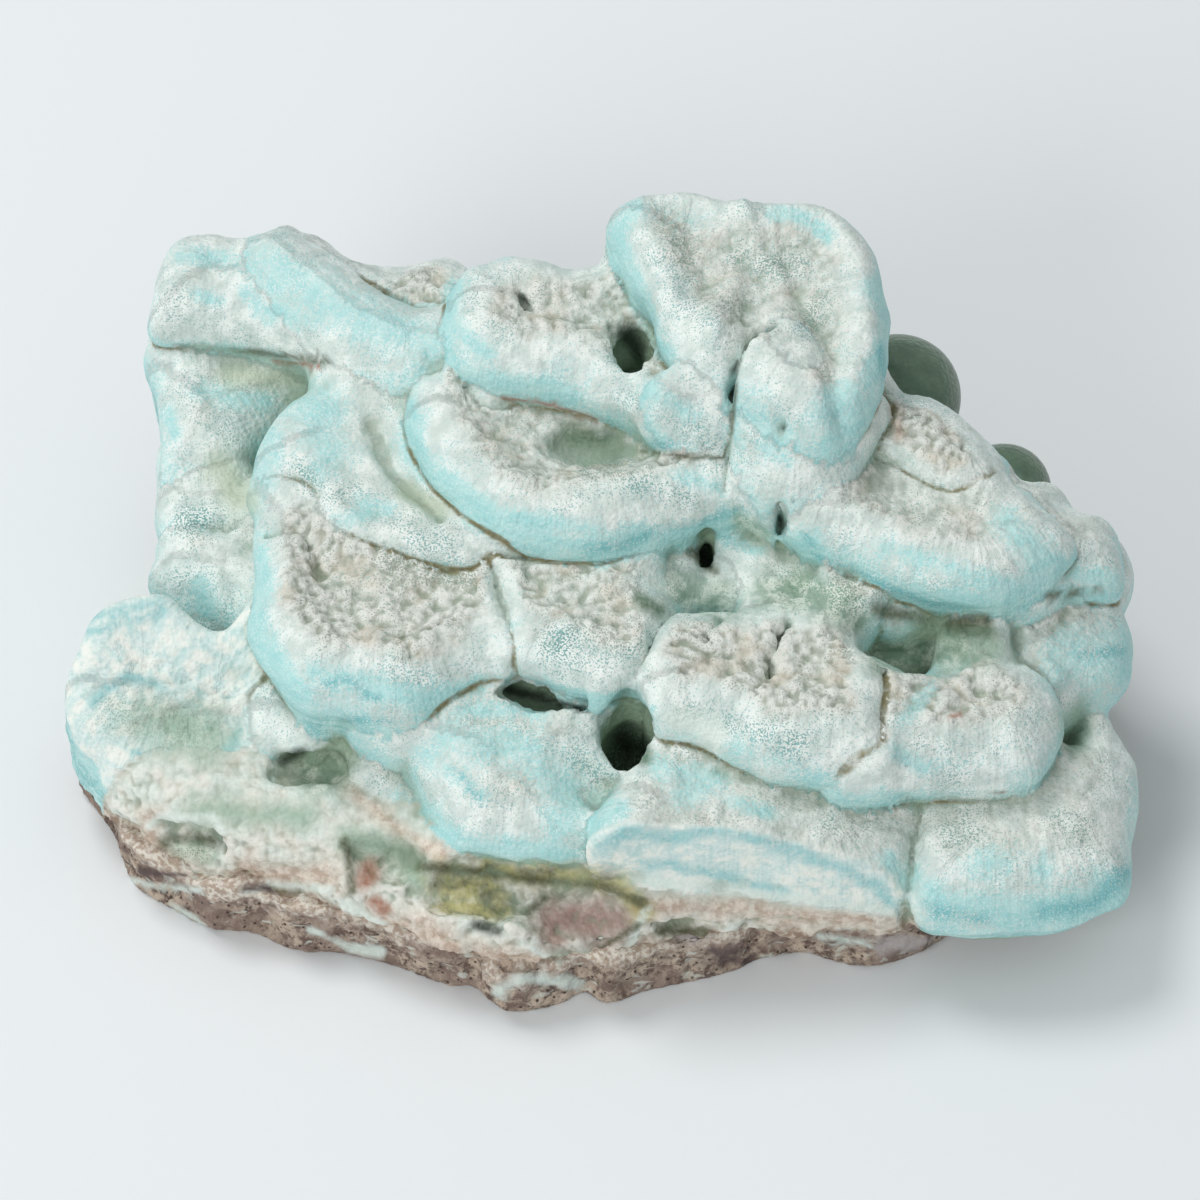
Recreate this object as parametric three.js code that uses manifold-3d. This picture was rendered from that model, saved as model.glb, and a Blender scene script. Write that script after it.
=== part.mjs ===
// Blue aragonite specimen: a plate of rock with a crust of overlapping, thick-lipped aragonite lobes.
//
// Two separate materials make two nodes: the rock matrix, which stands on its own flat underside, and
// the aragonite, one crust of lobes that grew together, with a broken front and hollows between lobes.
//
// Millimetres, +Z up, +X to the right and +Y to the back, origin at the centre of the underside.
//
// Each lobe is described the way it is seen: its lip is a closed outline in pixels of a square picture
// of the specimen, and its height above the table is in millimetres. placeAt() turns both into a place.

import * as THREE from "three";
import Module from "manifold-3d";
import { mergeVertices } from "three/addons/utils/BufferGeometryUtils.js";

const wasm = await Module();
wasm.setup();

// The picture: 1200 px square, taken from the front, looking down on the specimen
const PICTURE_CENTRE_PX = 600;
const FOCAL_PX = 5000;
const VIEW_DISTANCE = 650;
const VIEW_ELEVATION = THREE.MathUtils.degToRad(52);
const VIEW_TARGET = new THREE.Vector3(0, 0, 25);

// The crust stands on the rock with a hairline between them
const ROCK_TOP = 9;
const HAIRLINE = 0.3;
const CRUST_FLOOR = ROCK_TOP + HAIRLINE;

// How finely the lobes and the core are faceted, and the size of the lumps inside the lips
const LIP_STEP = 6.4;
const CORE_STEP = 8;
const LUMP_SPACING = 5.5;

// The widest rim and the deepest undercut, as shares of the way from the lip to the heart
const WIDEST_RIM = 0.86;
const DEEPEST_UNDERCUT = 0.4;

// Between the lobes the specimen is solid up to this far below their lips, and lower at its edge
const CREVICE_DEPTH = 6;
const CORE_EDGE_DROP = 5;
const CORE_RINGS = [0.9, 0.74, 0.56, 0.38, 0.19];
const NEAR_A_LOBE = 4.5;

// Hollows and domes are ellipsoids of this many faces around and from pole to pole
const ELLIPSOID_FACES = [12, 8];

// The block that stands for what broke off the front reaches this far
const BREAK_REACH = 90;

// Lobes, from the back of the specimen to its front. height: of the lip's widest line above the table at
// the heart. rim: radius of the rounded lip. dish: how far the middle sinks below the lip. undercut: how
// far the wall retreats per millimetre below the lip. lumps: height of the granular lumps inside the lip.
// slope: rise of the lip's plane per millimetre to the right and to the back.
const LOBES = [
  {
    name: "crown",
    heart: [755, 300], height: 57.5, rim: 7.5, dish: 4.5, undercut: 0.28,
    lumps: 0.8, slope: [0, 0.16],
    lip: [
      [608, 228], [622, 212], [645, 199], [690, 193], [720, 201], [745, 206], [775, 203], [812, 204],
      [845, 218], [872, 250], [886, 300], [891, 345], [886, 385], [862, 425], [830, 450], [795, 440],
      [760, 420], [738, 400], [712, 392], [685, 378], [655, 345], [632, 300], [618, 258],
    ],
  },
  {
    name: "crown heart",
    heart: [790, 375], height: 57, rim: 5, dish: 0, undercut: 0.2,
    lumps: 1.2, slope: [0, 0.1],
    lip: [
      [757, 330], [778, 322], [803, 328], [828, 358], [835, 400], [815, 428], [775, 420], [748, 398],
      [743, 365],
    ],
  },
  {
    name: "bridge below the crown",
    heart: [702, 385], height: 52, rim: 6, dish: 0, undercut: 0.1,
    lumps: 0.3, slope: [0, 0.3],
    lip: [
      [655, 352], [690, 338], [728, 352], [730, 378], [738, 402], [728, 425], [700, 432], [672, 412],
      [660, 385],
    ],
  },
  {
    name: "crown foot",
    heart: [785, 458], height: 47.5, rim: 6.5, dish: 0.5, undercut: 0.2,
    lumps: 0.4, slope: [0, 0.25],
    lip: [
      [728, 440], [742, 414], [775, 405], [812, 425], [838, 455], [850, 488], [820, 512], [785, 514],
      [758, 498], [738, 475], [724, 458],
    ],
  },
  {
    name: "upper middle",
    heart: [575, 352], height: 49.5, rim: 6.5, dish: 2, undercut: 0.3,
    lumps: 0.9, slope: [-0.05, 0.12],
    lip: [
      [447, 310], [446, 345], [462, 375], [500, 395], [545, 404], [590, 415], [625, 438], [665, 453],
      [708, 457], [732, 437], [740, 405], [718, 370], [672, 335], [642, 300], [622, 277], [600, 268],
      [575, 268], [550, 264], [530, 261], [510, 254], [485, 268], [458, 278],
    ],
  },
  {
    name: "upper left roll",
    heart: [365, 322], height: 45.5, rim: 6.5, dish: 1, undercut: 0.3,
    lumps: 0.3, slope: [0, 0.1],
    lip: [
      [249, 252], [262, 239], [294, 237], [340, 268], [400, 312], [448, 342], [482, 372], [470, 385],
      [435, 392], [405, 402], [372, 386], [335, 370], [300, 335], [268, 303], [251, 278],
    ],
  },
  {
    name: "back crest",
    heart: [395, 298], height: 43, rim: 6, dish: 0.5, undercut: 0.2,
    lumps: 1, slope: [0, 0.05],
    lip: [
      [290, 241], [325, 243], [350, 260], [378, 273], [405, 268], [435, 265], [462, 272], [478, 300],
      [458, 340], [420, 345], [370, 320], [320, 285],
    ],
  },
  {
    name: "upper left corner",
    heart: [235, 298], height: 42, rim: 6, dish: 1.5, undercut: 0.35,
    lumps: 0.5, slope: [0, 0.12],
    lip: [
      [148, 328], [155, 292], [172, 254], [198, 238], [240, 240], [290, 262], [335, 315], [340, 350],
      [328, 370], [285, 361], [240, 348], [190, 342], [158, 345],
    ],
  },
  {
    name: "back dome",
    heart: [940, 458], height: 42.5, rim: 7.5, dish: 0, undercut: 0.2,
    lumps: 1.1, slope: [0, 0.1],
    lip: [
      [862, 440], [870, 415], [887, 398], [920, 397], [955, 412], [980, 435], [996, 465], [1003, 500],
      [985, 520], [950, 524], [900, 505], [870, 472],
    ],
  },
  {
    name: "right shelf",
    heart: [930, 530], height: 41.5, rim: 6.5, dish: 2.5, undercut: 0.35,
    lumps: 0.7, slope: [-0.05, 0.12],
    lip: [
      [790, 532], [800, 510], [822, 498], [820, 475], [832, 452], [858, 445], [900, 448], [950, 462],
      [1000, 485], [1035, 508], [1062, 532], [1078, 556], [1060, 580], [1035, 597], [1008, 612],
      [975, 617], [940, 611], [900, 597], [860, 578], [825, 562], [800, 552],
    ],
  },
  {
    name: "far right",
    heart: [1068, 548], height: 34.5, rim: 6.5, dish: 0, undercut: 0.3,
    lumps: 0.6, slope: [-0.1, 0.1],
    lip: [
      [1005, 500], [1030, 482], [1055, 485], [1078, 509], [1102, 517], [1119, 537], [1125, 562],
      [1124, 592], [1105, 604], [1075, 606], [1040, 590], [1012, 550],
    ],
  },
  {
    name: "centre crescent",
    heart: [575, 475], height: 42.5, rim: 6.5, dish: 3, undercut: 0.35,
    lumps: 0.9, slope: [0, 0.1],
    lip: [
      [404, 425], [415, 404], [440, 391], [466, 382], [500, 394], [560, 404], [620, 425], [680, 445],
      [722, 456], [748, 476], [768, 500], [762, 514], [735, 523], [700, 531], [660, 543], [620, 555],
      [580, 557], [545, 555], [510, 548], [480, 531], [455, 511], [430, 490], [412, 462],
    ],
  },
  {
    name: "left of centre",
    heart: [372, 488], height: 37.5, rim: 6.5, dish: 2, undercut: 0.3,
    lumps: 0.7, slope: [0.05, 0.18],
    lip: [
      [252, 475], [262, 445], [285, 412], [313, 388], [345, 378], [378, 385], [402, 405], [407, 440],
      [416, 470], [446, 500], [476, 528], [498, 556], [495, 585], [462, 592], [420, 590], [385, 581],
      [348, 567], [320, 546], [310, 520], [285, 506], [258, 502],
    ],
  },
  {
    name: "left ledge",
    heart: [212, 420], height: 32, rim: 6, dish: 1, undercut: 0.15,
    lumps: 0.5, slope: [-0.1, 0.3],
    lip: [
      [158, 378], [190, 370], [235, 370], [280, 378], [312, 388], [300, 415], [275, 440], [250, 462],
      [235, 482], [200, 488], [168, 490], [159, 440],
    ],
  },
  {
    name: "left ball",
    heart: [207, 518], height: 26, rim: 6, dish: 0, undercut: 0.2,
    lumps: 0.5, slope: [0, 0.1],
    lip: [
      [157, 516], [164, 498], [185, 485], [215, 482], [242, 491], [257, 510], [256, 532], [238, 547],
      [205, 553], [178, 552], [162, 540],
    ],
  },
  {
    name: "left saddle",
    heart: [212, 585], height: 24, rim: 6, dish: 0.5, undercut: 0.2,
    lumps: 0.4, slope: [0.1, 0.15],
    lip: [
      [148, 590], [160, 562], [185, 548], [225, 545], [260, 540], [264, 580], [254, 618], [236, 634],
      [212, 628], [184, 612], [164, 600],
    ],
  },
  {
    name: "centre left",
    heart: [378, 640], height: 32.5, rim: 6.5, dish: 3, undercut: 0.35,
    lumps: 1.1, slope: [0, 0.15],
    lip: [
      [260, 504], [290, 506], [312, 520], [322, 546], [350, 566], [385, 580], [420, 590], [465, 593],
      [492, 596], [500, 625], [507, 660], [500, 681], [465, 699], [420, 721], [380, 722], [340, 716],
      [305, 713], [280, 690], [258, 662], [246, 636], [254, 595], [254, 545],
    ],
  },
  {
    name: "centre",
    heart: [580, 635], height: 33.5, rim: 6.5, dish: 2, undercut: 0.35,
    lumps: 0.9, slope: [0, 0.1],
    lip: [
      [495, 566], [520, 560], [560, 562], [612, 570], [652, 590], [673, 612], [664, 640], [650, 675],
      [634, 702], [612, 713], [575, 703], [545, 693], [515, 682], [507, 660], [501, 625], [493, 592],
    ],
  },
  {
    name: "recess pillar",
    heart: [700, 592], height: 29, rim: 4, dish: 0, undercut: 0.1,
    lumps: 0.3, slope: [0, 0.1],
    lip: [
      [652, 556], [680, 548], [715, 562], [742, 590], [744, 615], [715, 624], [680, 620], [660, 604],
    ],
  },
  {
    name: "recess floor",
    heart: [790, 568], height: 31, rim: 5, dish: 0, undercut: 0.1,
    lumps: 0.3, slope: [0.05, 0.15],
    lip: [
      [722, 542], [748, 512], [775, 506], [800, 520], [815, 550], [850, 572], [880, 590], [868, 606],
      [825, 604], [795, 614], [755, 620], [735, 592],
    ],
  },
  {
    name: "right cheek",
    heart: [1068, 656], height: 26.5, rim: 7.5, dish: 0, undercut: 0.45,
    lumps: 0.5, slope: [-0.1, 0.15],
    lip: [
      [990, 645], [1005, 622], [1030, 604], [1058, 592], [1088, 588], [1112, 600], [1126, 625],
      [1132, 655], [1128, 690], [1108, 712], [1080, 718], [1050, 700], [1010, 670],
    ],
  },
  {
    name: "lower right of centre",
    heart: [770, 690], height: 33, rim: 6.5, dish: 2, undercut: 0.35,
    lumps: 1.1, slope: [0, 0.12],
    lip: [
      [634, 702], [646, 674], [660, 642], [678, 622], [708, 614], [745, 612], [785, 606], [822, 600],
      [856, 606], [872, 630], [888, 660], [893, 695], [888, 730], [888, 762], [880, 780], [850, 784],
      [812, 782], [772, 777], [736, 764], [712, 751], [690, 743], [660, 740], [643, 724],
    ],
  },
  {
    name: "right of centre",
    heart: [972, 724], height: 30, rim: 6.5, dish: 1, undercut: 0.3,
    lumps: 1, slope: [-0.05, 0.15],
    lip: [
      [884, 690], [905, 668], [940, 660], [985, 652], [1022, 665], [1052, 690], [1064, 716],
      [1065, 744], [1050, 768], [1034, 786], [1000, 791], [960, 791], [922, 793], [900, 791],
      [886, 770], [884, 730],
    ],
  },
  {
    name: "lower right",
    heart: [1015, 862], height: 15, rim: 10, dish: 0, undercut: 0.5,
    lumps: 0.7, slope: [0, 0.1],
    lip: [
      [902, 815], [915, 798], [960, 795], [1005, 795], [1038, 788], [1065, 765], [1092, 755],
      [1130, 758], [1137, 780], [1138, 812], [1131, 842], [1132, 875], [1124, 902], [1098, 913],
      [1070, 926], [1030, 932], [985, 935], [945, 933], [918, 926], [908, 890], [904, 850],
    ],
  },
  {
    name: "lower middle",
    heart: [778, 830], height: 20, rim: 8.5, dish: 0, undercut: 0.05,
    lumps: 0.7, slope: [-0.22, 0.15], broken: true,
    lip: [
      [612, 800], [640, 760], [690, 748], [735, 768], [800, 788], [870, 788], [893, 806], [906, 845],
      [909, 875], [900, 900], [860, 925], [760, 940], [640, 940], [590, 900], [592, 840],
    ],
  },
  {
    name: "lower left of centre",
    heart: [512, 785], height: 22.5, rim: 7.5, dish: 0.5, undercut: 0.1,
    lumps: 0.9, slope: [0, 0.4], broken: true,
    lip: [
      [418, 724], [450, 709], [480, 699], [510, 698], [545, 704], [580, 714], [608, 724], [615, 748],
      [616, 775], [600, 795], [585, 815], [583, 845], [575, 872], [545, 882], [505, 876], [470, 862],
      [448, 838], [425, 800], [406, 765], [405, 738],
    ],
  },
  {
    name: "small tongue",
    heart: [614, 818], height: 19, rim: 6, dish: 0, undercut: 0.1,
    lumps: 0, slope: [0, 0.3], broken: true,
    lip: [
      [578, 842], [588, 812], [602, 796], [622, 792], [642, 800], [654, 822], [648, 842], [625, 858],
      [595, 862],
    ],
  },
  {
    name: "left flank",
    heart: [385, 775], height: 18.5, rim: 4, dish: 0, undercut: 0,
    lumps: 0.4, slope: [0.05, 0.55], broken: true,
    lip: [
      [300, 722], [340, 716], [390, 722], [415, 730], [432, 765], [452, 805], [475, 850], [468, 872],
      [430, 858], [390, 842], [356, 816], [346, 790], [340, 762], [318, 748],
    ],
  },
  {
    name: "lower left",
    heart: [180, 705], height: 22, rim: 3, dish: 1, undercut: 0,
    lumps: 0.6, slope: [0.1, 0.95],
    lip: [
      [64, 692], [72, 665], [84, 640], [92, 622], [110, 606], [140, 594], [168, 592], [182, 608],
      [205, 628], [240, 636], [262, 668], [285, 702], [303, 722], [290, 750], [266, 776], [235, 800],
      [180, 810], [130, 798], [96, 765], [75, 735],
    ],
  },
];

// Smooth green domes low on the back: centre in the picture, height and radius
const GREEN_DOMES = [
  { heart: [898, 397], height: 35, radius: 8.3 },
  { heart: [1004, 491], height: 30, radius: 6.2 },
  { heart: [800, 392], height: 31, radius: 9 },
  { heart: [640, 375], height: 25, radius: 9 },
  { heart: [460, 357], height: 28, radius: 8.2 },
  { heart: [285, 356], height: 27, radius: 7.8 },
];

// The foot of the crust, which the lobes grew from, as an outline in millimetres, and its rounded edge
const CRUST_FOOT = {
  heart: [-2, 2], height: 11.5, rim: 8, dish: 0, undercut: 0, lumps: 0.5,
  lip: [
    [-67, -9], [-65, -18], [-60, -26], [-53, -30.5], [-44, -34], [-34, -37], [-26, -41], [-19, -44],
    [-11, -46], [-2, -45], [8, -43], [20, -41.5], [34, -41], [46, -39], [56, -30], [60, -16], [61, 2],
    [57, 16], [44, 27], [25, 35], [4, 40], [-20, 43], [-42, 43], [-53, 38], [-56, 24], [-57, 8],
    [-62, -1],
  ],
};

// Solid middle of the crust: an outline inside the lobes
const CORE = [
  [-58, -8], [-57, -18], [-48, -26], [-34, -31], [-18, -36], [0, -38], [20, -38], [38, -36], [50, -28],
  [55, -12], [56, 4], [50, 16], [38, 26], [22, 33], [4, 36], [-18, 39], [-40, 40], [-49, 34], [-52, 18],
  [-52, 2],
];

// The plane of the broken front, seen from above, and the lobes that it cuts are marked broken
const FRONT_BREAK = [[-90, -28], [-58, -30], [-38, -37], [-18, -39.5], [-2, -40.5], [18, -40], [44, -41.5]];

// Hollows: where their middle is seen, its height, and the radii to the right, to the back and upwards
const HOLLOWS = [
  { name: "shaft beside the crown", heart: [631, 345], height: 55, radii: [2.8, 3.4, 13] },
  { name: "cleft of the crown", heart: [742, 372], height: 64, radii: [1.6, 7, 5] },
  { name: "round mouth", heart: [628, 741], height: 22, radii: [3.6, 4.6, 10] },
  { name: "dark slot", heart: [535, 698], height: 24, radii: [8, 2.6, 7] },
  { name: "green pool", heart: [588, 432], height: 47, radii: [6.5, 4, 5] },
  { name: "green recess", heart: [935, 632], height: 31, radii: [9, 6, 5] },
  { name: "recess eye", heart: [710, 562], height: 31, radii: [2, 3, 7] },
  { name: "arch", heart: [306, 770], height: 18, radii: [5.2, 6.5, 4.4] },
  { name: "slot", heart: [186, 836], height: 12.5, radii: [5, 5, 2] },
  { name: "front vug", heart: [478, 885], height: 14.6, radii: [15, 6, 4.4] },
];

// Rock outline on the table, and how far each level of its side stands in from it
const ROCK_OUTLINE = [
  [-68, -8], [-67.5, -14], [-64, -20], [-61, -27.5], [-56, -31.5], [-51, -34.5], [-45, -35.5],
  [-40, -38], [-34, -38.5], [-27, -40.5], [-21, -43], [-16, -44], [-12, -47.6], [-6, -46.8],
  [-2, -44.8], [1, -46.4], [6, -44.5], [12, -43], [17, -41.5], [21, -39.5], [26, -38.5], [32, -40.5],
  [38, -40], [45, -36], [53, -28], [57, -16], [58, 0], [54, 15], [42, 25], [24, 33], [4, 38], [-20, 41],
  [-40, 41], [-50, 37], [-54, 24], [-55, 7], [-61, -1],
];
const ROCK_LEVELS = [
  { z: 0, inset: 0.045 },
  { z: 1.6, inset: 0.01 },
  { z: 4.4, inset: 0.004 },
  { z: 7, inset: 0.012 },
  { z: ROCK_TOP, inset: 0.02 },
];

// How far the rock's side stands in and out, as a share of its reach, and how much closer its lumps are
const ROCK_ROUGHNESS = 0.014;
const ROCK_LUMPS = 2.2;

const viewBack = new THREE.Vector3(0, -Math.cos(VIEW_ELEVATION), Math.sin(VIEW_ELEVATION));
const viewUp = new THREE.Vector3(0, Math.sin(VIEW_ELEVATION), Math.cos(VIEW_ELEVATION));
const viewEye = VIEW_TARGET.clone().addScaledVector(viewBack, VIEW_DISTANCE);

// The far side of a rounded lip hides its widest line: pixels between the two, per millimetre of rim
const FAR_SIDE_RISE = (FOCAL_PX / VIEW_DISTANCE) * (1 - Math.sin(VIEW_ELEVATION));

/** Where the sight line through a pixel meets the plane height + slope . ([x, y] - origin). */
function placeAt([px, py], height, slope = [0, 0], origin = [0, 0]) {
  const sight = viewBack
    .clone()
    .multiplyScalar(-FOCAL_PX)
    .addScaledVector(viewUp, PICTURE_CENTRE_PX - py);
  sight.x += px - PICTURE_CENTRE_PX;
  const startAbovePlane =
    viewEye.z - height - slope[0] * (viewEye.x - origin[0]) - slope[1] * (viewEye.y - origin[1]);
  const descent = -(sight.z - slope[0] * sight.x - slope[1] * sight.y);
  return viewEye.clone().addScaledVector(sight, startAbovePlane / descent);
}

/** A repeatable value between -1 and 1 that varies smoothly over the specimen. */
function lumpAt(x, y, seed) {
  const u = (x + 0.4 * y) / LUMP_SPACING;
  const v = (y - 0.3 * x) / LUMP_SPACING;
  const broad = Math.sin(2.1 * u + seed) * Math.sin(2.3 * v + 1.7 * seed);
  const narrow = Math.sin(4.3 * u - 3.9 * v + seed);
  return broad + 0.5 * narrow;
}

/** A lobe with its lip and heart placed on the specimen, in millimetres. */
function placed(lobe) {
  const heart = placeAt(lobe.heart, lobe.height);
  const origin = [heart.x, heart.y];
  const lip = lobe.lip.map(([px, py]) => {
    const away = [px - lobe.heart[0], lobe.heart[1] - py];
    const farSide = Math.max(0, away[1] / Math.hypot(...away));
    const p = placeAt([px, py + FAR_SIDE_RISE * lobe.rim * farSide], lobe.height, lobe.slope, origin);
    return [p.x, p.y];
  });
  return { ...lobe, heart: origin, lip };
}

/** Height of a lobe's lip, whose plane can slope. */
function lipHeight(lobe, x, y) {
  const slope = lobe.slope ?? [0, 0];
  return lobe.height + slope[0] * (x - lobe.heart[0]) + slope[1] * (y - lobe.heart[1]);
}

/** Columns around a closed outline: the way out from the heart, and how squarely the outline faces it. */
function columnsOf(lip, heart, step) {
  const curve = new THREE.CatmullRomCurve3(
    lip.map(([x, y]) => new THREE.Vector3(x, y, 0)), true, "catmullrom", 0.5,
  );
  const count = Math.max(10, Math.round(curve.getLength() / step));
  return Array.from({ length: count }, (_, i) => {
    const edge = curve.getPointAt(i / count);
    const along = curve.getTangentAt(i / count);
    const out = new THREE.Vector2(edge.x - heart[0], edge.y - heart[1]);
    const radius = out.length();
    out.normalize();
    return { edge, out, radius, reach: radius * Math.abs(out.x * along.y - out.y * along.x) };
  });
}

/** Evens out a ring of values with their neighbours. */
function evened(values) {
  const at = (i) => values[(i + values.length) % values.length];
  return values.map((v, i) => (at(i - 2) + 2 * at(i - 1) + 3 * v + 2 * at(i + 1) + at(i + 2)) / 9);
}

/** One closed lobe: rings from its foot up over the rounded lip to the heart. */
function lobeGeometry(lobe, floor, seed) {
  const [hx, hy] = lobe.heart;
  const columns = columnsOf(lobe.lip, lobe.heart, LIP_STEP);
  const rims = evened(columns.map(({ reach }) => Math.min(lobe.rim / reach, WIDEST_RIM)));
  const positions = [hx, hy, floor];
  for (const [i, { edge, out, radius, reach }] of columns.entries()) {
    const rim = rims[i];
    const profile = [
      { in: 0, rise: 0 },
      { in: 0.24 * rim, rise: 0.67 * lobe.rim },
      { in: rim, rise: lobe.rim, lumps: 0.7 * lobe.lumps },
      { in: (1 + rim) / 2, rise: lobe.rim - 0.6 * lobe.dish, lumps: lobe.lumps },
    ];
    const wall = lipHeight(lobe, edge.x, edge.y) - floor;
    const undercut = Math.min((lobe.undercut * wall) / reach, DEEPEST_UNDERCUT);
    positions.push(edge.x - undercut * radius * out.x, edge.y - undercut * radius * out.y, floor);
    for (const ring of profile) {
      const x = edge.x - ring.in * radius * out.x;
      const y = edge.y - ring.in * radius * out.y;
      positions.push(x, y, lipHeight(lobe, x, y) + ring.rise + (ring.lumps ?? 0) * lumpAt(x, y, seed));
    }
  }
  positions.push(hx, hy, lobe.height + lobe.rim - lobe.dish);
  return closedRings(positions, columns.length);
}

/** The solid middle of the crust, which follows the lips of the lobes some way below them. */
function coreGeometry(lobes) {
  const heart = [0, 0];
  const columns = columnsOf(CORE, heart, CORE_STEP);
  const top = (x, y) => {
    let sum = 0;
    let weights = 0;
    for (const lobe of lobes) {
      const away = Math.hypot(x - lobe.heart[0], y - lobe.heart[1], NEAR_A_LOBE);
      const weight = 1 / away ** 4;
      sum += weight * lobe.height;
      weights += weight;
    }
    return sum / weights - CREVICE_DEPTH;
  };
  const positions = [...heart, CRUST_FLOOR];
  for (const { edge } of columns) {
    positions.push(edge.x, edge.y, CRUST_FLOOR);
    positions.push(edge.x, edge.y, Math.max(CRUST_FLOOR + 2, top(edge.x, edge.y) - CORE_EDGE_DROP));
    for (const left of CORE_RINGS)
      positions.push(left * edge.x, left * edge.y, top(left * edge.x, left * edge.y));
  }
  positions.push(...heart, top(...heart));
  return closedRings(positions, columns.length);
}

/** Joins the first point, columns of ring points and the last point into one closed surface. */
function closedRings(positions, columns) {
  const rings = (positions.length / 3 - 2) / columns;
  const vertex = (i, ring) => 1 + (i % columns) * rings + ring;
  const last = positions.length / 3 - 1;
  const faces = [];
  for (let i = 0; i < columns; i++) {
    faces.push(0, vertex(i + 1, 0), vertex(i, 0));
    for (let ring = 0; ring < rings - 1; ring++) {
      faces.push(vertex(i, ring), vertex(i + 1, ring), vertex(i + 1, ring + 1));
      faces.push(vertex(i, ring), vertex(i + 1, ring + 1), vertex(i, ring + 1));
    }
    faces.push(vertex(i, rings - 1), vertex(i + 1, rings - 1), last);
  }
  return new THREE.BufferGeometry()
    .setAttribute("position", new THREE.Float32BufferAttribute(positions, 3))
    .setIndex(faces);
}

/** A closed geometry as a solid that can be joined and cut. */
function solidOf(geometry) {
  const bare = geometry.clone();
  bare.deleteAttribute("normal");
  bare.deleteAttribute("uv");
  const merged = mergeVertices(bare, 1e-4);
  const solid = new wasm.Manifold(
    new wasm.Mesh({
      numProp: 3,
      vertProperties: new Float32Array(merged.attributes.position.array),
      triVerts: new Uint32Array(merged.index.array),
    }),
  );
  return solid;
}

/** A solid's surface as a geometry. */
function geometryOf(solid) {
  const { vertProperties, triVerts } = solid.getMesh();
  const geometry = new THREE.BufferGeometry()
    .setAttribute("position", new THREE.BufferAttribute(vertProperties, 3))
    .setIndex(new THREE.BufferAttribute(triVerts, 1));
  geometry.computeVertexNormals();
  return geometry;
}

/** A lump or hollow with three radii, placed by where its middle is seen. */
function ellipsoid({ heart, height, radii }) {
  const geometry = new THREE.SphereGeometry(1, ...ELLIPSOID_FACES);
  geometry.scale(...radii);
  return solidOf(geometry.translate(...placeAt(heart, height)));
}

/** The outline turned counter-clockwise, so that the faces point out. */
function counterClockwise(lobe) {
  const clockwise = THREE.ShapeUtils.isClockWise(lobe.lip.map(([x, y]) => new THREE.Vector2(x, y)));
  return clockwise ? { ...lobe, lip: [...lobe.lip].reverse() } : lobe;
}

function lobeSolid(lobe, seed) {
  return solidOf(lobeGeometry(counterClockwise(lobe), CRUST_FLOOR, seed));
}

/** The aragonite: foot, core, lobes and domes joined, broken off at the front and hollowed. */
function aragoniteGeometry() {
  const lobes = LOBES.map(placed);
  const inFront = new THREE.Shape([
    ...FRONT_BREAK.map(([x, y]) => new THREE.Vector2(x, y)),
    new THREE.Vector2(FRONT_BREAK.at(-1)[0], -BREAK_REACH),
    new THREE.Vector2(-BREAK_REACH, -BREAK_REACH),
  ]);
  const block = new THREE.ExtrudeGeometry(inFront, { depth: BREAK_REACH, bevelEnabled: false });
  const brokenOff = solidOf(block);
  let crust = lobeSolid(CRUST_FOOT, 0).add(solidOf(coreGeometry(lobes)));
  for (const [i, lobe] of lobes.entries()) {
    const solid = lobeSolid(lobe, i);
    crust = crust.add(lobe.broken ? solid.subtract(brokenOff) : solid);
  }
  for (const dome of GREEN_DOMES) {
    const radii = [dome.radius, dome.radius, dome.radius];
    crust = crust.add(ellipsoid({ ...dome, radii }));
  }
  for (const hollow of HOLLOWS) crust = crust.subtract(ellipsoid(hollow));
  return geometryOf(outerSkin(crust));
}

/** The largest of a solid's skins, which leaves out pockets sealed between lobes. */
function outerSkin(solid) {
  return solid.decompose().reduce((a, b) => (b.volume() > a.volume() ? b : a));
}

/** The rock: a rough plate with a flat underside. */
function rockGeometry() {
  const positions = [0, 0, 0];
  for (const [x, y] of ROCK_OUTLINE)
    for (const { z, inset } of ROCK_LEVELS) {
      const lump = z > 0 ? lumpAt(ROCK_LUMPS * x, ROCK_LUMPS * y, z) : 0;
      const out = 1 - inset + ROCK_ROUGHNESS * lump;
      positions.push(out * x, out * y, z);
    }
  positions.push(0, 0, ROCK_TOP);
  return closedRings(positions, ROCK_OUTLINE.length);
}

const specimen = new THREE.Group();

const aragonite = new THREE.Mesh(
  aragoniteGeometry(),
  new THREE.MeshStandardMaterial({ color: 0xa9dcdc, roughness: 0.6, metalness: 0 }),
);
aragonite.name = "aragonite_crust";
specimen.add(aragonite);

const rock = new THREE.Mesh(
  rockGeometry(),
  new THREE.MeshStandardMaterial({ color: 0x8a7368, roughness: 0.9, metalness: 0 }),
);
rock.name = "rock_matrix";
specimen.add(rock);

export default specimen;
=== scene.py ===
"""Blue aragonite specimen: the fine surface of the crust and of its rock, their materials, light and view.

The crust is a distance field in millimetres, built from the same lobes as the solid: every lobe is a lip
outline in pixels of a square picture, placed at its height. The field is roughened, meshed and thinned.
"""
import itertools
import math

import bpy
import numpy as np
from mathutils import Matrix, Vector


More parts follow.
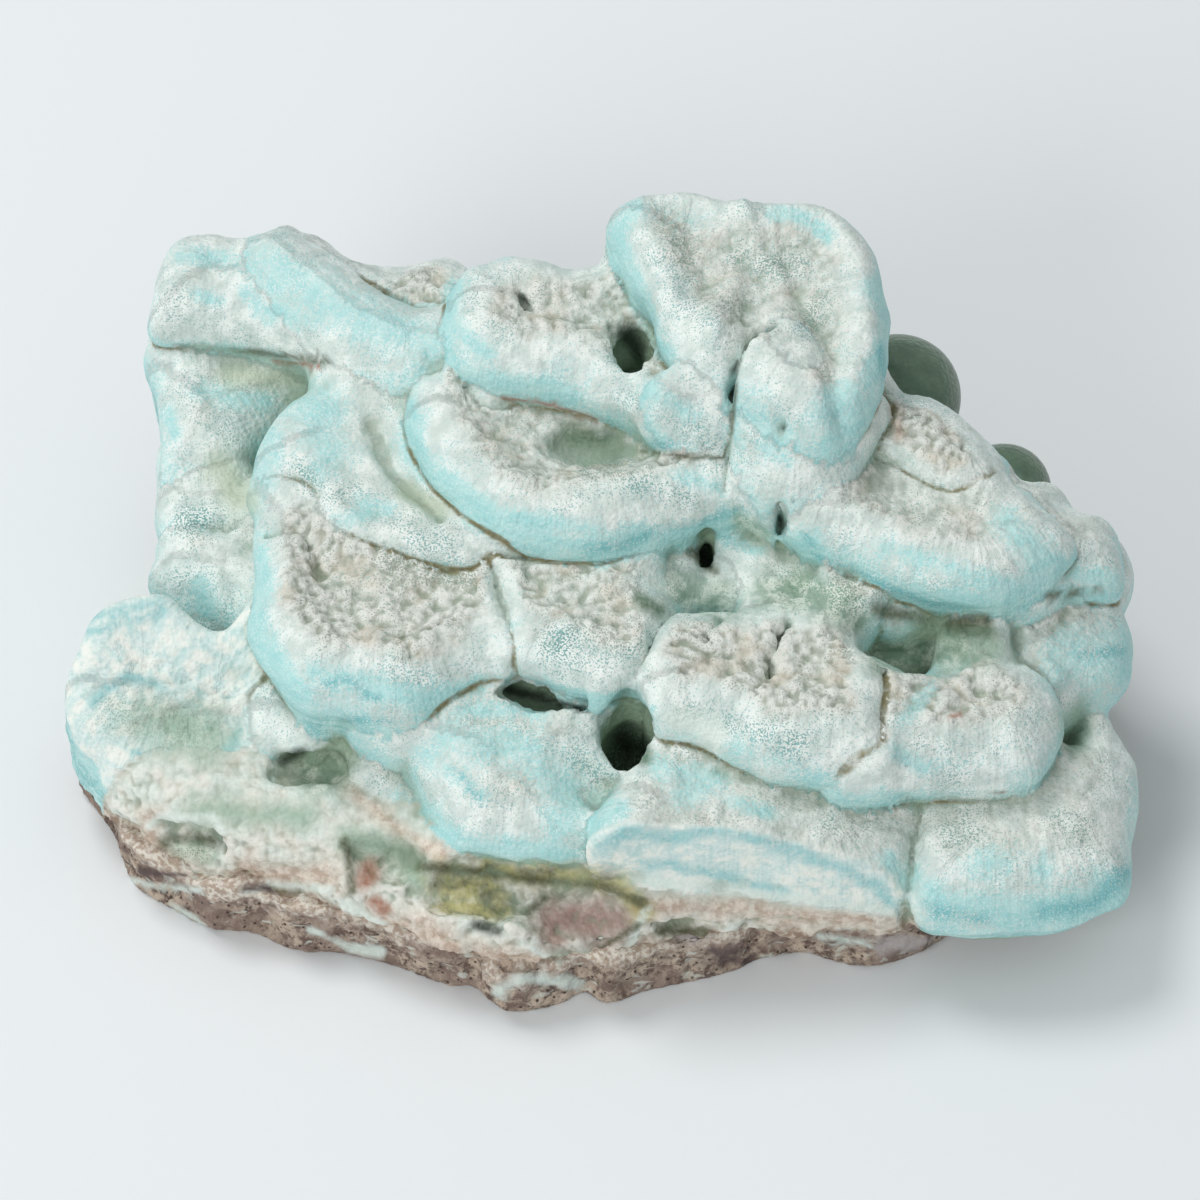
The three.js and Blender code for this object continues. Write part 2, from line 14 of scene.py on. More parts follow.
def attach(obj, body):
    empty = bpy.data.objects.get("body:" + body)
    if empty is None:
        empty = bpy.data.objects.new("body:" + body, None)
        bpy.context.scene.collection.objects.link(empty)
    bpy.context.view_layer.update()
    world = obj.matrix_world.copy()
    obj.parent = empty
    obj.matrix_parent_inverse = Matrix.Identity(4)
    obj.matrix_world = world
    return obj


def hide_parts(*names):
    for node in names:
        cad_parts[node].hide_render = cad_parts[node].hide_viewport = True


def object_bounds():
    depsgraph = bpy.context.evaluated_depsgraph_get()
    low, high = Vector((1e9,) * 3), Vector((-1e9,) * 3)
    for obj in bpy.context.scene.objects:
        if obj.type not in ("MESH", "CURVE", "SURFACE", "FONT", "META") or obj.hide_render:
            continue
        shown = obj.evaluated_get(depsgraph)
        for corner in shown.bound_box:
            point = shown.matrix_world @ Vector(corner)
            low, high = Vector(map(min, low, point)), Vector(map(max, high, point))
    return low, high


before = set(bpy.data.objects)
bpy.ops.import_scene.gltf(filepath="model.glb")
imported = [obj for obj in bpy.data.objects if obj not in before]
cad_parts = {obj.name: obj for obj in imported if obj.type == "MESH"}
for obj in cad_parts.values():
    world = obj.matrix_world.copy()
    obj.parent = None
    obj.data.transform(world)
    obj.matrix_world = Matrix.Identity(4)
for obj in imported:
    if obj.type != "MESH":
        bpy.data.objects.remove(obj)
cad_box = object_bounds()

MM = 0.001

# The picture: square, taken from the front, looking down on the specimen
PICTURE_PX = 1200
FOCAL_PX = 5000
VIEW_DISTANCE = 650.0
VIEW_ELEVATION = math.radians(52)
VIEW_TARGET = np.array([0.0, 0.0, 25.0])
VIEW_BACK = np.array([0.0, -math.cos(VIEW_ELEVATION), math.sin(VIEW_ELEVATION)])
VIEW_UP = np.array([0.0, math.sin(VIEW_ELEVATION), math.cos(VIEW_ELEVATION)])
VIEW_EYE = VIEW_TARGET + VIEW_DISTANCE * VIEW_BACK

# The far side of a rounded lip hides its widest line: pixels between the two, per millimetre of rim
FAR_SIDE_RISE = FOCAL_PX / VIEW_DISTANCE * (1 - math.sin(VIEW_ELEVATION))

# The contact of rock and crust, how far both run past it, and how deep it is open between lobes
CONTACT = 9.1
BELOW_CONTACT = 0.6
ABOVE_CONTACT = 0.3
CREVICE_DEPTH = 6.0

# How wide the fillet is where two lobes meet, and how far a lobe runs on under a higher neighbour
MERGING = 2.2
FUSING = 4.0
UNDER_NEIGHBOUR = 9.0
NEIGHBOUR_WITHIN = 2.5

# A lobe's lip, as a share of its rim where its width isn't given, how far its outline is softened, over what
# least and most width its middle sinks, how much steeper it is below a higher neighbour, and how far a wall
# can retreat, as a share of half the lobe's width
LIP_SHARE = 0.7
LIP_SOFTENED = 0.7
SINKS_OVER = (1.5, 6)
STEEPER = 1.6
MOST_RETREAT = 0.4

# How much lower the core is along its edge, over what width, and how evenly the lobes share in its top
CORE_DROP = 6
CORE_DROP_WIDTH = 4
CORE_EVENNESS = 20

# Grid step of the fields, the room around them, the rock's lowest and highest, the most triangles of a mesh
STEP = 0.5
MARGIN = 2.5
ROCK_HEIGHTS = (-2, 14)
MOST_TRIANGLES = 196_000
CORNERS = list(itertools.product((0, 1), repeat=3))

# Layers of noise: height, size and seed of each. On the whole crust, on its sugary middles, on the broken
# front, at the edges of the middles and at the edges of the tints
UNEVENNESS = ((0.55, 9, 31), (0.32, 4, 32), (0.1, 1.7, 36))
LUMPS = ((0.7, 3.6, 21), (0.8, 1.9, 22), (0.6, 1.1, 23))
CRUMBS = ((0.7, 2.6, 42), (0.7, 1.4, 43), (0.5, 0.8, 44))
RAGGED_MIDDLES = ((1.8, 4.5, 11), (0.9, 1.8, 12))
RAGGED_TINTS = ((0.3, 3, 81), (0.25, 1.2, 82))

# Fibres and furrows across the lips and the creases between lobes
FIBRE_WIDTH = 1.5
FIBRE_HEIGHT = 0.09
FURROW_WIDTH = 2.1
FURROW_HEIGHT = 0.4
CREASE_WIDTH = 0.6
CREASE_DEPTH = 0.6

# What stands for none: a place outside the field, a distance, a rise, and how far in front of the break the
# right side is
OUTSIDE = 9.0
FAR = 1e9
NO_RISE = -99.0
BEHIND = -200


def path(text):
    """The points of a path, which is written as x,y x,y."""
    return [tuple(float(v) for v in point.split(",")) for point in text.split()]


def brush(text):
    """Brush strokes: each is written as half its width, a colon and its path, with semicolons between."""
    strokes = (stroke.split(":") for stroke in text.split(";"))
    return [(float(width), path(line)) for width, line in strokes]


# Lobes, from the back of the specimen to its front. heart: where the middle is seen in the picture. height:
# of the lip's widest line above the table at the heart. rim: radius of the rounded lip. dish: how far the
# middle sinks below it. lip_width: from the edge to where it starts to sink. undercut: how far the wall
# retreats per millimetre below the lip. slope: rise of the lip's plane per millimetre to the right and to
# the back. grain: how granular the middle is. fused: joined without a crease. broken: cut by the front
# break. face: broken across its top. lip: the path of the lip in the picture.
PLAIN_LOBE = dict(
    rim=6.5, dish=0, undercut=0.1, slope=(0, 0.1), grain=0.2, fused=False, broken=False, face=False)
LOBES = {
    "crown": dict(
        heart=(755, 300), height=57.5, rim=7.5, dish=3.5, undercut=0.28, slope=(0, 0.16),
        grain=0.6, lip_width=2.5, lip="""
        608,228 622,212 645,199 690,193 720,201 745,206 775,203 812,204 845,218 872,250 886,300 891,345
        886,385 862,425 830,450 795,440 760,420 738,400 712,392 685,378 655,345 632,300 618,258"""),
    "crown heart": dict(heart=(788, 368), height=57.5, rim=4, grain=0.6, fused=True, lip="""
        762,338 780,327 803,332 822,356 826,388 808,406 775,404 752,390 748,362"""),
    "neck": dict(heart=(788, 415), height=54, rim=4, slope=(0, 1.0), grain=0.4, fused=True, lip="""
        750,385 788,374 835,388 856,425 848,460 820,476 785,476 752,460 740,420"""),
    "left neck": dict(heart=(698, 415), height=52.5, rim=4, slope=(0, 1.2), grain=0.1, fused=True, lip="""
        655,375 690,370 728,385 738,410 730,440 700,452 668,440 648,410"""),
    "crown foot": dict(
        heart=(785, 458), height=47.5, dish=0.5, undercut=0.2, slope=(0, 0.25), grain=0.3, lip="""
        728,440 742,414 775,405 812,425 838,455 850,488 820,512 785,514 758,498 738,475 724,458"""),
    "upper middle": dict(
        heart=(575, 352), height=49.5, dish=1.2, undercut=0.3, slope=(-0.05, 0.12), grain=0.9, lip="""
        447,310 446,345 462,375 500,395 545,404 590,415 625,438 665,453 708,457 732,437 740,405 718,370
        672,335 642,300 622,277 600,268 575,268 550,264 530,261 510,254 485,268 458,278"""),
    "upper left roll": dict(heart=(365, 322), height=45.5, dish=1, undercut=0.3, grain=0.1, lip="""
        249,252 262,239 294,237 340,268 400,312 448,342 482,372 470,385 435,392 405,402 372,386 335,370
        300,335 268,303 251,278"""),
    "back crest": dict(
        heart=(395, 298), height=43, rim=6, dish=0.5, undercut=0.2, slope=(0, 0.05), grain=1.0, lip="""
        290,241 325,243 350,260 378,273 405,268 435,265 462,272 478,300 458,340 420,345 370,320 320,285"""),
    "upper left corner": dict(
        heart=(235, 298), height=42, rim=6, dish=0.8, undercut=0.35, slope=(0, 0.12), grain=0.1, lip="""
        148,328 155,292 172,254 198,238 240,240 290,262 335,315 340,350 328,370 285,361 240,348 190,342
        158,345"""),
    "back dome": dict(heart=(940, 458), height=42.5, rim=7.5, undercut=0.2, grain=1.0, lip="""
        862,440 870,415 887,398 920,397 955,412 980,435 996,465 1003,500 985,520 950,524 900,505 870,472"""),
    "right shelf": dict(
        heart=(930, 530), height=41.5, dish=1.6, undercut=0.35, slope=(-0.05, 0.12), grain=0.6, lip="""
        790,532 800,510 822,498 820,475 832,452 858,445 900,448 950,462 1000,485 1035,508 1062,532 1078,556
        1060,580 1035,597 1008,612 975,617 940,611 900,597 860,578 825,562 800,552"""),
    "far right": dict(heart=(1068, 548), height=34.5, undercut=0.3, slope=(-0.1, 0.1), grain=0.5, lip="""
        1005,500 1030,482 1055,485 1078,509 1102,517 1119,537 1125,562 1124,592 1105,604 1075,606 1040,590
        1012,550"""),
    "centre crescent": dict(heart=(575, 475), height=42.5, dish=2.4, undercut=0.35, grain=0.8, lip="""
        404,425 415,404 440,391 466,382 500,394 560,404 620,425 680,445 722,456 748,476 768,500 762,514
        735,523 700,531 660,543 620,555 580,557 545,555 510,548 480,531 455,511 430,490 412,462"""),
    "left of centre": dict(
        heart=(372, 488), height=37.5, dish=0.8, undercut=0.3, slope=(0.05, 0.18), grain=0.15, lip="""
        252,475 262,445 285,412 313,388 345,378 378,385 402,405 407,440 416,470 446,500 476,528 498,556
        495,585 462,592 420,590 385,581 348,567 320,546 310,520 285,506 258,502"""),
    "left ledge": dict(heart=(212, 420), height=32, rim=6, dish=1, undercut=0.15, slope=(-0.1, 0.3), lip="""
        158,378 190,370 235,370 280,378 312,388 300,415 275,440 250,462 235,482 200,488 168,490 159,440"""),
    "left ball": dict(heart=(207, 518), height=26, rim=6, undercut=0.2, lip="""
        157,516 164,498 185,485 215,482 242,491 257,510 256,532 238,547 205,553 178,552 162,540"""),
    "left saddle": dict(
        heart=(212, 585), height=24, rim=6, dish=0.5, undercut=0.2, slope=(0.1, 0.15), grain=0.4, lip="""
        148,590 160,562 185,548 225,545 260,540 264,580 254,618 236,634 212,628 184,612 164,600"""),
    "centre left": dict(
        heart=(378, 640), height=32.5, dish=1.4, undercut=0.35, slope=(0, 0.15), grain=1.0, lip="""
        260,504 290,506 312,520 322,546 350,566 385,580 420,590 465,593 492,596 500,625 507,660 500,681
        465,699 420,721 380,722 340,716 305,713 280,690 258,662 246,636 254,595 254,545"""),
    "centre": dict(heart=(580, 635), height=33.5, dish=1, undercut=0.35, grain=0.9, lip="""
        495,566 520,560 560,562 612,570 652,590 673,612 664,640 650,675 634,702 612,713 575,703 545,693
        515,682 507,660 501,625 493,592"""),
    "recess pillar": dict(heart=(700, 592), height=31, rim=6, grain=0.1, lip="""
        652,556 680,548 715,562 742,590 744,615 715,624 680,620 660,604"""),
    "recess floor": dict(heart=(790, 568), height=34, rim=5, slope=(0.05, 0.15), grain=0.3, lip="""
        722,542 748,512 775,506 800,520 815,550 850,572 880,590 868,606 825,604 795,614 755,620 735,592"""),
    "right cheek": dict(
        heart=(1068, 656), height=26.5, rim=7.5, undercut=0.45, slope=(-0.1, 0.15), grain=0.6, lip="""
        990,645 1005,622 1030,604 1058,592 1088,588 1112,600 1126,625 1132,655 1128,690 1108,712 1080,718
        1050,700 1010,670"""),
    "lower right of centre": dict(
        heart=(770, 690), height=33, dish=1.2, undercut=0.35, slope=(0, 0.12), grain=1.0, lip="""
        634,702 646,674 660,642 678,622 708,614 745,612 785,606 822,600 856,606 872,630 888,660 893,695
        888,730 888,762 880,780 850,784 812,782 772,777 736,764 712,751 690,743 660,740 643,724"""),
    "right of centre": dict(
        heart=(972, 724), height=30, dish=0.7, undercut=0.3, slope=(-0.05, 0.15), grain=0.9, lip="""
        884,690 905,668 940,660 985,652 1022,665 1052,690 1064,716 1065,744 1050,768 1034,786 1000,791
        960,791 922,793 900,791 886,770 884,730"""),
    "lower right": dict(heart=(1015, 862), height=15, rim=10, undercut=0.5, grain=0.35, lip="""
        902,815 915,798 960,795 1005,795 1038,788 1065,765 1092,755 1130,758 1137,780 1138,812 1131,842
        1132,875 1124,902 1098,913 1070,926 1030,932 985,935 945,933 918,926 908,890 904,850"""),
    "lower middle": dict(
        heart=(778, 830), height=20, rim=8.5, undercut=0.05, slope=(-0.22, 0.15),
        grain=0.5, broken=True, lip="""
        612,800 640,760 690,748 735,768 800,788 870,788 893,806 906,845 909,875 900,900 860,925 760,940
        640,940 590,900 592,840"""),
    "lower left of centre": dict(
        heart=(512, 785), height=22.5, rim=7.5, dish=0.5, slope=(0, 0.4), grain=0.5, broken=True, lip="""
        418,724 450,709 480,699 510,698 545,704 580,714 608,724 615,748 616,775 600,795 585,815 583,845
        575,872 545,882 505,876 470,862 448,838 425,800 406,765 405,738"""),
    "small tongue": dict(heart=(614, 818), height=19, rim=6, slope=(0, 0.3), grain=0, broken=True, lip="""
        578,842 588,812 602,796 622,792 642,800 654,822 648,842 625,858 595,862"""),
    "left seam": dict(
        heart=(222, 612), height=23, rim=4, undercut=0, slope=(0.1, 0.5), grain=0, fused=True, lip="""
        180,600 212,582 248,588 262,612 262,645 238,660 205,645"""),
    "left flank": dict(
        heart=(385, 775), height=18.5, rim=4, undercut=0, slope=(0.05, 0.55), broken=True, lip="""
        300,722 340,716 390,722 415,730 432,765 452,805 475,850 468,872 430,858 390,842 356,816 346,790
        340,762 318,748"""),
    "lower left": dict(
        heart=(180, 705), height=22, rim=3, dish=1, undercut=0, slope=(0.1, 0.95),
        grain=0.8, face=True, lip="""
        64,692 72,665 84,640 92,622 110,606 140,594 168,592 182,608 205,628 240,636 262,668 285,702 303,722
        290,750 266,776 235,800 180,810 130,798 96,765 75,735"""),
}


# Smooth green domes low on the back: centre in the picture, height and radius
GREEN_DOMES = [
    ((898, 397), 35, 8.3), ((1004, 491), 30, 6.2), ((800, 392), 31, 9), ((640, 375), 25, 9),
    ((460, 357), 28, 8.2), ((285, 356), 27, 7.8), ((575, 350), 31, 5.5), ((735, 392), 23, 5.2),
    ((372, 364), 22, 5.6), ((520, 374), 20, 4.6), ((700, 372), 36, 5), ((850, 424), 25, 4.6),
]

# The foot of the crust, its solid core and the rock, as paths in millimetres seen from above
CRUST_FOOT = dict(heart=(-2, 2), height=11.5, rim=8, undercut=0, slope=(0, 0), lip="""
    -67,-9 -65,-18 -60,-26 -53,-30.5 -44,-34 -34,-37 -26,-41 -19,-44 -11,-46 -2,-45 8,-43 20,-41.5 34,-41
    46,-39 56,-30 60,-16 61,2 57,16 44,27 25,35 4,40 -20,43 -42,43 -53,38 -56,24 -57,8 -62,-1""")
CORE = path("""
    -58,-8 -57,-18 -48,-26 -34,-31 -18,-36 0,-38 20,-38 38,-36 50,-28 55,-12 56,4 50,16 38,26 22,33 4,36
    -18,39 -40,40 -49,34 -52,18 -52,2""")
ROCK_OUTLINE = path("""
    -68,-8 -67.5,-14 -64,-20 -61,-27.5 -56,-31.5 -51,-34.5 -45,-35.5 -40,-38 -34,-38.5 -27,-40.5 -21,-43
    -16,-44 -12,-47.6 -6,-46.8 -2,-44.8 1,-46.4 6,-44.5 12,-43 17,-41.5 21,-39.5 26,-38.5 32,-40.5 38,-40
    45,-36 53,-28 57,-16 58,0 54,15 42,25 24,33 4,38 -20,41 -40,41 -50,37 -54,24 -55,7 -61,-1""")

# The line of the broken front, seen from above
FRONT_BREAK = path("""
    -90,-28 -58,-30 -38,-37 -18,-39.5 -2,-40.5 18,-40 44,-41.5""")

# Hollows: where their middle is seen, its height, the radii to the right, to the back and upwards, and how
# wide their edge is rounded
HOLLOWS = {
    "shaft beside the crown": ((631, 339), 55, (3.2, 4.6, 13), 1.5),
    "round mouth": ((629, 741), 27, (3.4, 4.6, 10), 1.5),
    "dark slot": ((524, 693), 32, (4.2, 1.3, 2.2), 1),
    "dark slot further right": ((566, 704), 31.5, (5, 0.9, 1.8), 0.8),
    "depth of the slot": ((540, 697), 28.5, (6, 1.6, 2.6), 1),
    "green pool": ((590, 442), 47, (6.2, 2.8, 4), 3),
    "green recess": ((925, 641), 37, (9, 3.4, 4.2), 4),
    "recess eye": ((706, 557), 35, (1.3, 2.4, 5), 2),
    "hole under the shelf": ((780, 521), 44, (1.3, 2.2, 4), 1),
    "arch": ((308, 770), 19.5, (5.2, 3.1, 2.8), 1),
    "slot": ((186, 836), 14, (5, 3.4, 1.6), 1),
    "green druse": ((385, 855), 18.5, (5, 3, 4.4), 1.5),
    "front vug": ((500, 888), 17, (13, 3.6, 4), 1.5),
    "mauve cell": ((578, 920), 15, (7, 3, 3.6), 1),
    "hole below the vug": ((488, 928), 14, (1.6, 3, 1.1), 1),
    "slot on the right": ((688, 928), 12.2, (4, 2.6, 1.1), 1),
    "hole in the foot": ((782, 428), 56.5, (0.9, 1.2, 2.5), 1),
}

# Strokes across the lobes: their height, width, rise (down where negative) and path in the picture
STROKES = {
    "cleft of the crown": (61, 0.6, -2, "774,326 746,342 731,368"),
    "dark slot's line": (31, 0.5, -1.5, "514,690 545,697 584,708"),
    "crease left of the foot": (53, 0.5, -0.8, "733,402 731,430 724,456"),
    "spine of the crown": (62, 2, 1.8, "735,285 716,315 715,345"),
    "top fold of the crown": (64, 1.6, 1, "742,212 752,240 778,268"),
    "right basin of the crown": (62, 1.8, -1.5, "800,292 832,340 836,390"),
    "fissure": (39, 0.7, -2.4, "788,626 768,655 772,668"),
    "notch": (39, 0.7, -2, "722,618 708,640"),
    "inner lip": (44, 0.9, -1.5, "268,505 300,512 318,545"),
    "fold left of the crescent": (44, 1.2, -2.2, "372,420 390,460 440,505"),
    "hole at the back": (56, 1.0, -3, "522,294 528,303"),
}

# Where neighbouring lobes grew together without a crease: height, width and path
GROWN_TOGETHER = {
    "corner and roll": (47, 4, "252,262 262,300 275,325 330,352"),
    "roll and its neighbours": (44, 4.5, "330,374 400,395 440,388 470,385"),
    "crown and foot": (54, 4, "765,445 850,452"),
    "small tongue": (22, 3, "600,795 585,840"),
    "left face and front": (19, 5, "110,765 250,755"),
    "recess": (37, 6, "670,560 770,595"),
    "left ledge and ball": (31, 4, "165,490 250,482"),
    "left ball and saddle": (27, 4, "160,555 245,548"),
    "left flank": (21, 4, "310,745 350,720 440,840"),
    "far right and shelf": (38, 3.5, "1010,500 1040,590"),
}

# Colours that keep to a place, as brush strokes in the picture; some are painted shade and some painted
# light, as marked
TINTS = {
    "aqua": """
        9: 626,256 639,297 651,331 660,350; 9: 639,207 617,230 622,262; 8: 775,214 808,218 828,235;
        9: 872,285 884,316 881,350 869,376; 14: 846,390 822,410; 7: 845,437 832,446; 8: 760,446 789,459;
        8: 648,389 692,413; 9: 484,380 567,397; 9: 453,287 450,323 486,352;
        26: 268,262 300,285 342,308 385,325 430,345; 10: 183,257 234,260; 8: 198,296 216,302;
        10: 249,293 269,317; 10: 201,391 263,403; 6: 169,409 174,433; 24: 325,405 312,430 330,455;
        12: 275,440 268,480; 9: 361,501 391,507 343,519; 14: 417,417 411,442 425,470;
        10: 470,520 560,545 640,535; 9: 442,481 497,515 595,531; 10: 678,476 715,487; 9: 726,537 757,548;
        10: 809,538 812,552; 16: 1005,517 1031,549 1044,572; 10: 886,549 939,564 1018,591;
        8: 833,438 867,406; 8: 1071,572 1105,577; 14: 1058,652 1092,655 1125,652; 10: 897,752 927,774;
        22: 985,860 1028,835; 12: 1045,850 1040,870; 13: 916,883 950,900 1019,911 1075,905 1125,889;
        10: 886,861 902,900; 8: 509,687 553,697 594,699 629,703; 10: 655,715 690,735;
        9: 731,752 817,773 845,771; 21: 450,738 509,745 553,779 568,815; 10: 457,711 543,711;
        10: 474,845 560,853; 10: 594,800 622,807 594,831; 14: 659,766 714,779 680,800; 8: 731,800 769,814;
        12: 264,578 258,614 264,650 294,692; 10: 315,671 390,689 435,703 480,684;
        8: 420,752 465,782 480,796; 10: 450,836 400,800; 8: 198,584 210,611; 7: 263,551 269,600;
        8: 930,690 905,720; 8: 1060,590 1095,600; 24: 1066,665 1112,660; 18: 1064,642 1118,640;
        22: 470,745 530,750; 9: 600,560 660,548 735,522; 8: 1000,600 950,596""",
    # Teal: deeper turquoise bands, and under the lips partly painted shade
    "teal": """
        4: 653,446 687,444; 5: 589,550 623,545 665,528 720,516 748,507;
        4: 804,533 820,559 859,573 899,592 939,606 970,610; 5: 454,766 485,807; 4: 345,719 390,722;
        4: 312,690 345,678 378,701; 5: 93,617 159,602 162,614 87,632; 5: 93,704 105,689 129,677 162,686;
        5: 135,752 159,761 186,755 210,767 228,752 240,728;
        7: 601,847 618,834 680,837 725,828 766,842 834,865 879,889 894,911;
        5: 640,862 680,866 731,878 783,893; 4: 750,740 845,771; 8: 1128,868 1090,908 1040,912;
        7: 925,908 985,922; 6: 1078,656 1120,650; 5: 467,448 452,440; 4: 880,345 884,380""",
    # Frosted: more white coat; the stroke near 670,722 on a front facing down is painted light
    "frosted": """
        11: 690,738 770,768 862,772; 12: 170,328 250,335 330,356; 9: 620,745 640,790; 10: 900,780 1000,785;
        24: 965,815 1070,825; 14: 180,318 235,322; 18: 670,722 715,732""",
    "porous": """
        24: 668,250 700,300; 20: 745,262 795,268; 16: 700,282 738,306; 27: 120,712 192,728;
        14: 815,300 808,325; 22: 205,400 250,395; 14: 380,560 480,580; 22: 195,520 215,515;
        20: 190,585 215,600; 16: 950,840 1000,850; 14: 1080,830 1095,870; 22: 560,640 620,650;
        16: 790,585 850,595; 14: 690,715 800,745; 14: 590,465 690,500; 16: 385,690 440,680;
        14: 470,720 600,770; 14: 300,470 440,545; 12: 400,770 440,820; 12: 880,585 960,590;
        12: 700,430 640,400""",
    "blush": """
        14: 250,872 330,878; 16: 385,930 430,930 450,945; 10: 650,908 760,908; 9: 760,915 890,920;
        6: 894,408 899,436; 12: 150,820 150,880; 10: 480,950 540,960; 7: 348,788 400,832 440,854""",
    "green": """
        13: 352,840 400,850 420,880; 24: 150,720 210,730; 14: 300,815 200,812; 14: 1078,716 1075,738;
        16: 935,640 990,645; 10: 560,960 590,962""",
    # Moss: dark green in the pool, recess and mouth, partly their own green, partly painted shade
    "moss": "17: 574,438 610,446; 8: 660,610 640,600; 9: 930,628 985,630; 9: 640,745 643,756",
    "sage": "16: 222,468 240,500; 9: 404,492 440,510; 12: 232,374 296,378",
    "olive": "20: 445,885 490,890; 12: 490,870 560,876 620,884 642,910; 9: 440,905 505,912",
    "mauve": "26: 558,922 600,922",
    # Painted shade: dark olive strokes under overhanging lips, in slots and in clefts
    "olive_shade": """
        5: 420,866 480,872 540,880 600,886 642,902; 4: 528,912 545,898; 5: 345,842 352,890;
        7: 165,842 212,842; 3: 640,925 600,948; 7: 876,610 940,622 985,620; 4: 250,888 300,892;
        6: 660,932 705,932; 5: 690,552 715,570; 2: 736,386 731,432 724,458; 2: 724,458 690,457 642,451;
        4: 1048,596 1100,590; 3: 330,362 240,350""",
    # Lip: the pale white of lips; the stroke near 674,722 on a front facing down is painted light
    "lip": """
        5: 345,905 380,925 400,950 455,965; 4: 150,866 230,880 330,890; 4: 150,826 160,818 215,818 222,832;
        5: 640,880 700,886 800,900 890,912; 4: 270,786 285,746 310,740 345,760;
        3: 520,942 560,964 630,948 645,912; 14: 674,722 710,731""",
    "rust": """
        12: 371,872 366,882; 9: 376,900 382,906; 2: 950,717 960,714; 2: 1000,790 1008,798;
        2: 503,398 545,404 596,419; 2: 276,362 322,366""",
    "pale": """
        19: 312,776 338,773; 14: 880,658 960,652; 18: 680,590 720,600; 20: 770,590 840,600;
        10: 740,520 760,535; 10: 180,850 210,855; 14: 830,615 860,620""",
    "shade": """
        5: 508,690 540,697; 3: 540,698 584,709; 10: 628,335 640,350; 5: 700,552 708,562;
        4: 779,518 782,526; 6: 282,760 300,752; 6: 476,925 498,932; 8: 622,738 628,750; 2: 737,362 731,374;
        3: 522,296 528,303; 2: 782,428 784,430""",
}
ROCK_TINTS = {
    "white": """
        7: 500,990 530,978 575,985; 3: 130,880 160,887 200,890; 3: 170,905 195,918 205,930;
        3: 240,893 280,885 310,893; 4: 310,930 350,948 380,952; 3: 620,905 650,920 640,935;
        4: 820,935 870,945""",
    "dark": """
        11: 82,748 95,785; 9: 715,955 745,962; 4: 245,888 300,890; 3: 140,872 185,876; 4: 130,898 145,902""",
    "lilac": "9: 665,930 700,930; 8: 880,945 925,940",
}

# How ragged tints end: where, over what width, and what stands for far from all strokes
STROKE_EDGE = 0.95
SHARP_EDGE = 0.7
SOFT_EDGE = 1.1
NO_STROKE = 9.0
SOFT_TINTS = ("aqua", "porous", "frosted", "sage", "blush", "green")

# The table's size and the place that the lights point at, in metres, and the light from around
TABLE_SIZE = 6
LIT_PLACE = Vector((0, 0, 0.02))
SKY_COLOUR = (0.97, 0.99, 1, 1)
SKY_STRENGTH = 0.46

# The width of the camera's sensor, in millimetres
SENSOR_WIDTH = 36


def place_at(pixel, height, slope=(0, 0), origin=(0, 0)):
    """Where the sight line through a pixel meets the plane height + slope . ([x, y] - origin)."""
    sight = -FOCAL_PX * VIEW_BACK + (PICTURE_PX / 2 - pixel[1]) * VIEW_UP
    sight[0] += pixel[0] - PICTURE_PX / 2
    above, descent = VIEW_EYE[2] - height, -sight[2]
    for k in (0, 1):
        above -= slope[k] * (VIEW_EYE[k] - origin[k])
        descent += slope[k] * sight[k]
    return VIEW_EYE + sight * above / descent


def places_on(line, height):
    """Where the points of a path in the picture are, seen from above."""
    return [place_at(pixel, height)[:2] for pixel in path(line)]


def seen_at(p):
    """Where places are seen in the picture, in pixels."""
    away = p - VIEW_EYE
    depth = -(away @ VIEW_BACK)
    right, up = FOCAL_PX * away[:, 0] / depth, FOCAL_PX * (away @ VIEW_UP) / depth
    return PICTURE_PX / 2 + np.stack([right, -up], axis=1)


def whole(lobe):
    """A lobe with its path read and with all that it doesn't say itself."""
    lobe = {**PLAIN_LOBE, **lobe, "lip": path(lobe["lip"])}
    return {"lip_width": LIP_SHARE * lobe["rim"], **lobe}


def placed(lobe):
    """A lobe with its lip and heart in millimetres."""
    origin = place_at(lobe["heart"], lobe["height"])[:2]
    lip = []
    for x, y in lobe["lip"]:
        right, up = x - lobe["heart"][0], lobe["heart"][1] - y
        far_side = max(0, up / math.hypot(right, up))
        pixel = (x, y + FAR_SIDE_RISE * lobe["rim"] * far_side)
        lip.append(place_at(pixel, lobe["height"], lobe["slope"], origin)[:2])
    return {**lobe, "heart": origin, "lip": lip}


def smooth_loop(points, per_span=6):
    """A closed curve through the points."""
    p = np.array(points, float)
    before, after, next_but_one = np.roll(p, 1, 0), np.roll(p, -1, 0), np.roll(p, -2, 0)
    t = (np.arange(per_span) / per_span)[None, :, None]
    a, b, c, d = (q[:, None, :] for q in (before, p, after, next_but_one))
    curve = 0.5 * (2 * b + (c - a) * t + (2 * a - 5 * b + 4 * c - d) * t**2 + (3 * b - a - 3 * c + d) * t**3)
    return curve.reshape(-1, 2)


def hashed(cell, seed):
    """A repeatable value between 0 and 1 for each whole-number cell."""
    h = cell[..., 0] * 73856093 ^ cell[..., 1] * 19349663 ^ cell[..., 2] * 83492791 ^ seed * 974711
    h = (h ^ (h >> 13)) * 1274126177 & 0xFFFFFFFF
    return ((h ^ (h >> 16)) & 0xFFFF) / 65535.0


def soft_noise(p, size, seed):
    """Smooth noise between -1 and 1 with lumps of the given size."""
    q = p / size
    cell = np.floor(q).astype(np.int64)
    t = q - cell
    t = t * t * (3 - 2 * t)
    total = np.zeros(len(p))
    for corner in CORNERS:
        weight = np.prod(np.where(corner, t, 1 - t), axis=1)
        total += weight * hashed(cell + corner, seed)
    return 2 * total - 1


